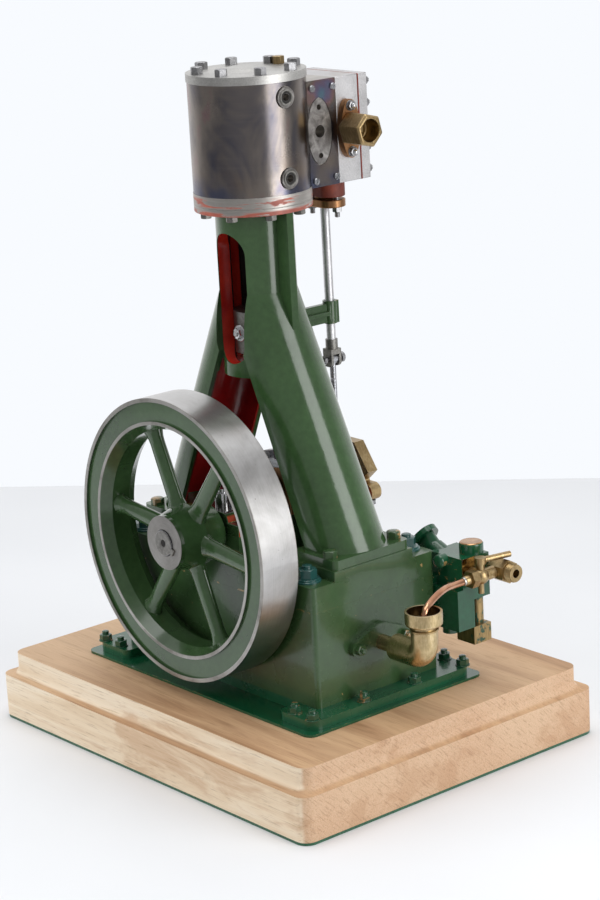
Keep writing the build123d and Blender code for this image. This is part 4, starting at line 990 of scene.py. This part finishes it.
# Bolts that ride with the eccentric strap
LUG_REACH, LUG_R = 31.0, 5.5
kit = Kit("strap_bolts", "eccentric_strap", "steel", "bolt_steel")
for side in SIDES:
    at = (EX + side * LUG_REACH, STRAP.y, STRAP.z - LUG_R)
    kit.hexagon(at, DOWN, flats=5.4, tall=2.8, spin=0.2)
    kit.stud(at, DOWN, r=1.7, start=2.6, end=5.0)
kit.hexagon((EX, STRAP.y, high("eccentric_strap_upper").z), UP, flats=6.4, tall=4.0)
kit.done()

# Bolts that ride with the big end, along the connecting rod
BIG_END_BOLT, BIG_END_TOP, BIG_END_FOOT = 11.5, 20.0, 15.0
TILT = math.atan2(PIN.x - EX, CROSS_PIN.z - PIN.z)
ALONG = Vector((-math.sin(TILT), 0, math.cos(TILT)))
ACROSS = Vector((math.cos(TILT), 0, math.sin(TILT)))
kit = Kit("big_end_bolts", "big_end", "steel", "bolt_steel")
for side in SIDES:
    at = PIN + side * BIG_END_BOLT * ACROSS
    kit.hexagon(at + BIG_END_TOP * ALONG, ALONG, flats=6.6, tall=3.4, spin=0.4)
    kit.hexagon(at - BIG_END_FOOT * ALONG, -ALONG, flats=6.6, tall=3.2, spin=0.2)
    kit.stud(at - BIG_END_FOOT * ALONG, -ALONG, r=2.0, start=3.0, end=4.8)
kit.done()

# Turned end of the crankshaft, its centre hole a flat disc painted near black as the hole's shade, and the
# key beside it
SHAFT_END = Vector((EX, low("crankshaft").y, CRANK_Z))
HUB_FACE = Vector((EX, HUB_FRONT, CRANK_Z))
SHAFT_RING = ((7.8, 0), (7.8, 0.1), (7.5, 0.3), (3.0, 0.3), (2.3, 0.05), (2.3, 0))
CENTRE_HOLE = ((0, 0), (2.3, 0), (2.3, 0.05), (0, 0.05))
KEY_LOW, KEY_HIGH, KEY_TURN = Vector((7.0, -1.0, -2.0)), Vector((10.4, 0.4, 2.0)), math.radians(28)
kit = Kit("shaft_end", "rotor", "steel", "dull_steel", "painted_hole_shade")
kit.band(SHAFT_RING, SHAFT_END, SOUTH, 40)
kit.turned(CENTRE_HOLE, SHAFT_END, SOUTH, 24, 1)
kit.key(HUB_FACE + KEY_LOW, HUB_FACE + KEY_HIGH, 0.25, HUB_FACE, KEY_TURN)
kit.done()

# Domed face of the pump's side plug
PLUG = Vector((102.0, 40.5, 121.4))
PLUG_DOME = ((0, 0), (4.4, 0), (4.3, 0.6), (3.7, 1.3), (2.4, 1.8), (0, 2.0))
kit = Kit("pump_plug", "engine", "dark_green_paint", "dark_green_paint")
kit.turned(PLUG_DOME, PLUG, SOUTH, 32)
kit.done()

# Ferrule and solder where the bypass pipe leaves its nut
PIPE_NUT = Vector((mid("bypass_union").x, low("bypass_union").y, mid("bypass_union").z))
FERRULE = ((0, -0.5), (3.1, -0.5), (3.1, 3.2), (2.8, 3.8), (0, 3.8))
SOLDER = ((0, 3.6), (2.7, 3.6), (2.75, 4.4), (2.55, 5.2), (0, 5.3))
kit = Kit("pipe_ferrule", "engine", "brass", "brass", "solder")
kit.turned(FERRULE, PIPE_NUT, SOUTH, 32)
kit.turned(SOLDER, PIPE_NUT, SOUTH, 32, 1)
kit.done()

# Thread on the feed outlet's nozzle
NOZZLE = Vector((high("feed_outlet").x, mid("feed_outlet").y, mid("feed_outlet").z))
NOZZLE_TURNS, NOZZLE_FIRST, NOZZLE_PITCH = 5, 0.6, 0.9
NOZZLE_THREAD = ((5.3, 0), (5.75, 0.35), (5.75, 0.45), (5.3, 0.8))
kit = Kit("outlet_thread", "engine", "brass", "brass")
for i in range(NOZZLE_TURNS):
    kit.band(NOZZLE_THREAD, NOZZLE + (NOZZLE_FIRST + NOZZLE_PITCH * i) * WEST, WEST, 32)
kit.done()

# Ring under the return cup
NECK_DOWN = 12.1
NECK_RING = ((7.6, 0), (8.5, 0), (8.8, 0.3), (8.8, 1.0), (8.5, 1.3), (7.6, 1.3))
kit = Kit("cup_neck_ring", "engine", "brass", "brass")
kit.band(NECK_RING, (CUP_X, EY, CUP_TOP - NECK_DOWN), UP, 40)
kit.done()

# Floor, in metres, turned so that its far edge lies where the photograph shows it
FLOOR_FAR, FLOOR_TURN = Vector((-0.3918, 0.3851, 0)), math.radians(42.3)
FLOOR_WIDE, FLOOR_DEEP = 1.8, 0.9
floor_mat = Shade("pale_floor", 0.6)
floor_mat.color(floor_mat.ramp(floor_mat.noise(3, 3), (0.3, "DFE1E4"), (0.7, "E5E7EA")))
half_edge = Vector((math.cos(FLOOR_TURN), math.sin(FLOOR_TURN), 0)) * FLOOR_WIDE / 2
toward = Vector((math.sin(FLOOR_TURN), -math.cos(FLOOR_TURN), 0)) * FLOOR_DEEP
left, right = FLOOR_FAR - half_edge, FLOOR_FAR + half_edge
mesh = bpy.data.meshes.new("floor")
mesh.from_pydata([left, left + toward, right + toward, right], [], [(0, 1, 2, 3)])
mesh.materials.append(floor_mat.mat)
floor = bpy.data.objects.new("floor", mesh)
scene.collection.objects.link(floor)

# Studio: white behind the engine, darker towards the camera and below; a white backdrop from every side
FADE = ((0.0, 0.97), (0.2, 0.95), (0.42, 0.36), (0.8, 0.33), (1.0, 0.45))
DARK_SIDE = TO_CAM + 0.25 * DOWN
BACKDROP = (0.94, 0.965, 1.0, 1)
COOL = 1.01
world = bpy.data.worlds.new("studio")
scene.world = world
world.use_nodes = True
tree = world.node_tree


def world_node(kind, **props):
    n = tree.nodes.new(kind)
    for key, value in props.items():
        setattr(n, key, value)
    return n


ray = world_node("ShaderNodeTexCoord").outputs["Generated"]
dot = world_node("ShaderNodeVectorMath", operation="DOT_PRODUCT")
dot.inputs[1].default_value = DARK_SIDE
tree.links.new(ray, dot.inputs[0])
share = world_node("ShaderNodeMath", operation="MULTIPLY_ADD")
share.inputs[1].default_value = 0.5
share.inputs[2].default_value = 0.5
tree.links.new(dot.outputs["Value"], share.inputs[0])
fade = world_node("ShaderNodeValToRGB")
while len(fade.color_ramp.elements) < len(FADE):
    fade.color_ramp.elements.new(0.5)
for element, (place, value) in zip(fade.color_ramp.elements, FADE):
    element.position = place
    element.color = (value, value, value * COOL, 1)
tree.links.new(share.outputs[0], fade.inputs[0])
seen = world_node("ShaderNodeLightPath").outputs["Is Camera Ray"]
pick = world_node("ShaderNodeMix", data_type="RGBA")
pick.inputs[7].default_value = BACKDROP
tree.links.new(seen, pick.inputs[0])
tree.links.new(fade.outputs[0], pick.inputs[6])
tree.links.new(pick.outputs[2], tree.nodes["Background"].inputs["Color"])


def softbox(name, at, aim_z, wide, tall, watts, mirrored=True):
    """Soft light, in metres, aimed at a height on the row's axis."""
    light = bpy.data.lights.new(name, "AREA")
    light.shape = "RECTANGLE"
    light.size = wide
    light.size_y = tall
    light.energy = watts
    o = bpy.data.objects.new(name, light)
    o.location = at
    o.rotation_euler = (aim_z * UP - Vector(at)).to_track_quat("-Z", "Y").to_euler()
    o.visible_camera = False
    o.visible_glossy = mirrored
    scene.collection.objects.link(o)


softbox("key", (1.05, 0.25, 0.45), aim_z=0.25, wide=0.6, tall=0.95, watts=7.5)
softbox("fill", (-0.35, -1.1, 0.6), aim_z=0.2, wide=1.1, tall=1.2, watts=7.0, mirrored=False)
softbox("top", (0.0, 0.0, 1.6), aim_z=0.2, wide=1.2, tall=1.2, watts=11.5)

# Camera as fitted to the photograph: target and distance in metres, lens and sensor in millimetres
CAM_TARGET, CAM_DISTANCE = Vector((-0.0638803, 0.0714770, 0.1562229)), 1.6889119
LENS, SENSOR, CLIP_START = 101.332, 36.0, 0.05
back = TO_CAM * math.cos(CAM_EL) + UP * math.sin(CAM_EL)
level = (-back).cross(UP).normalized()
upright = level.cross(-back)
x_axis = math.cos(CAM_ROLL) * level + math.sin(CAM_ROLL) * upright
y_axis = -math.sin(CAM_ROLL) * level + math.cos(CAM_ROLL) * upright
turn = Matrix((x_axis, y_axis, back)).transposed().to_4x4()
camera = bpy.data.cameras.new("camera")
camera.sensor_width = SENSOR
camera.lens = LENS
camera.clip_start = CLIP_START
cam = bpy.data.objects.new("camera", camera)
cam.matrix_world = Matrix.Translation(CAM_TARGET + back * CAM_DISTANCE) @ turn
scene.collection.objects.link(cam)
scene.camera = cam
scene.view_settings.view_transform = "Standard"

bpy.context.view_layer.update()
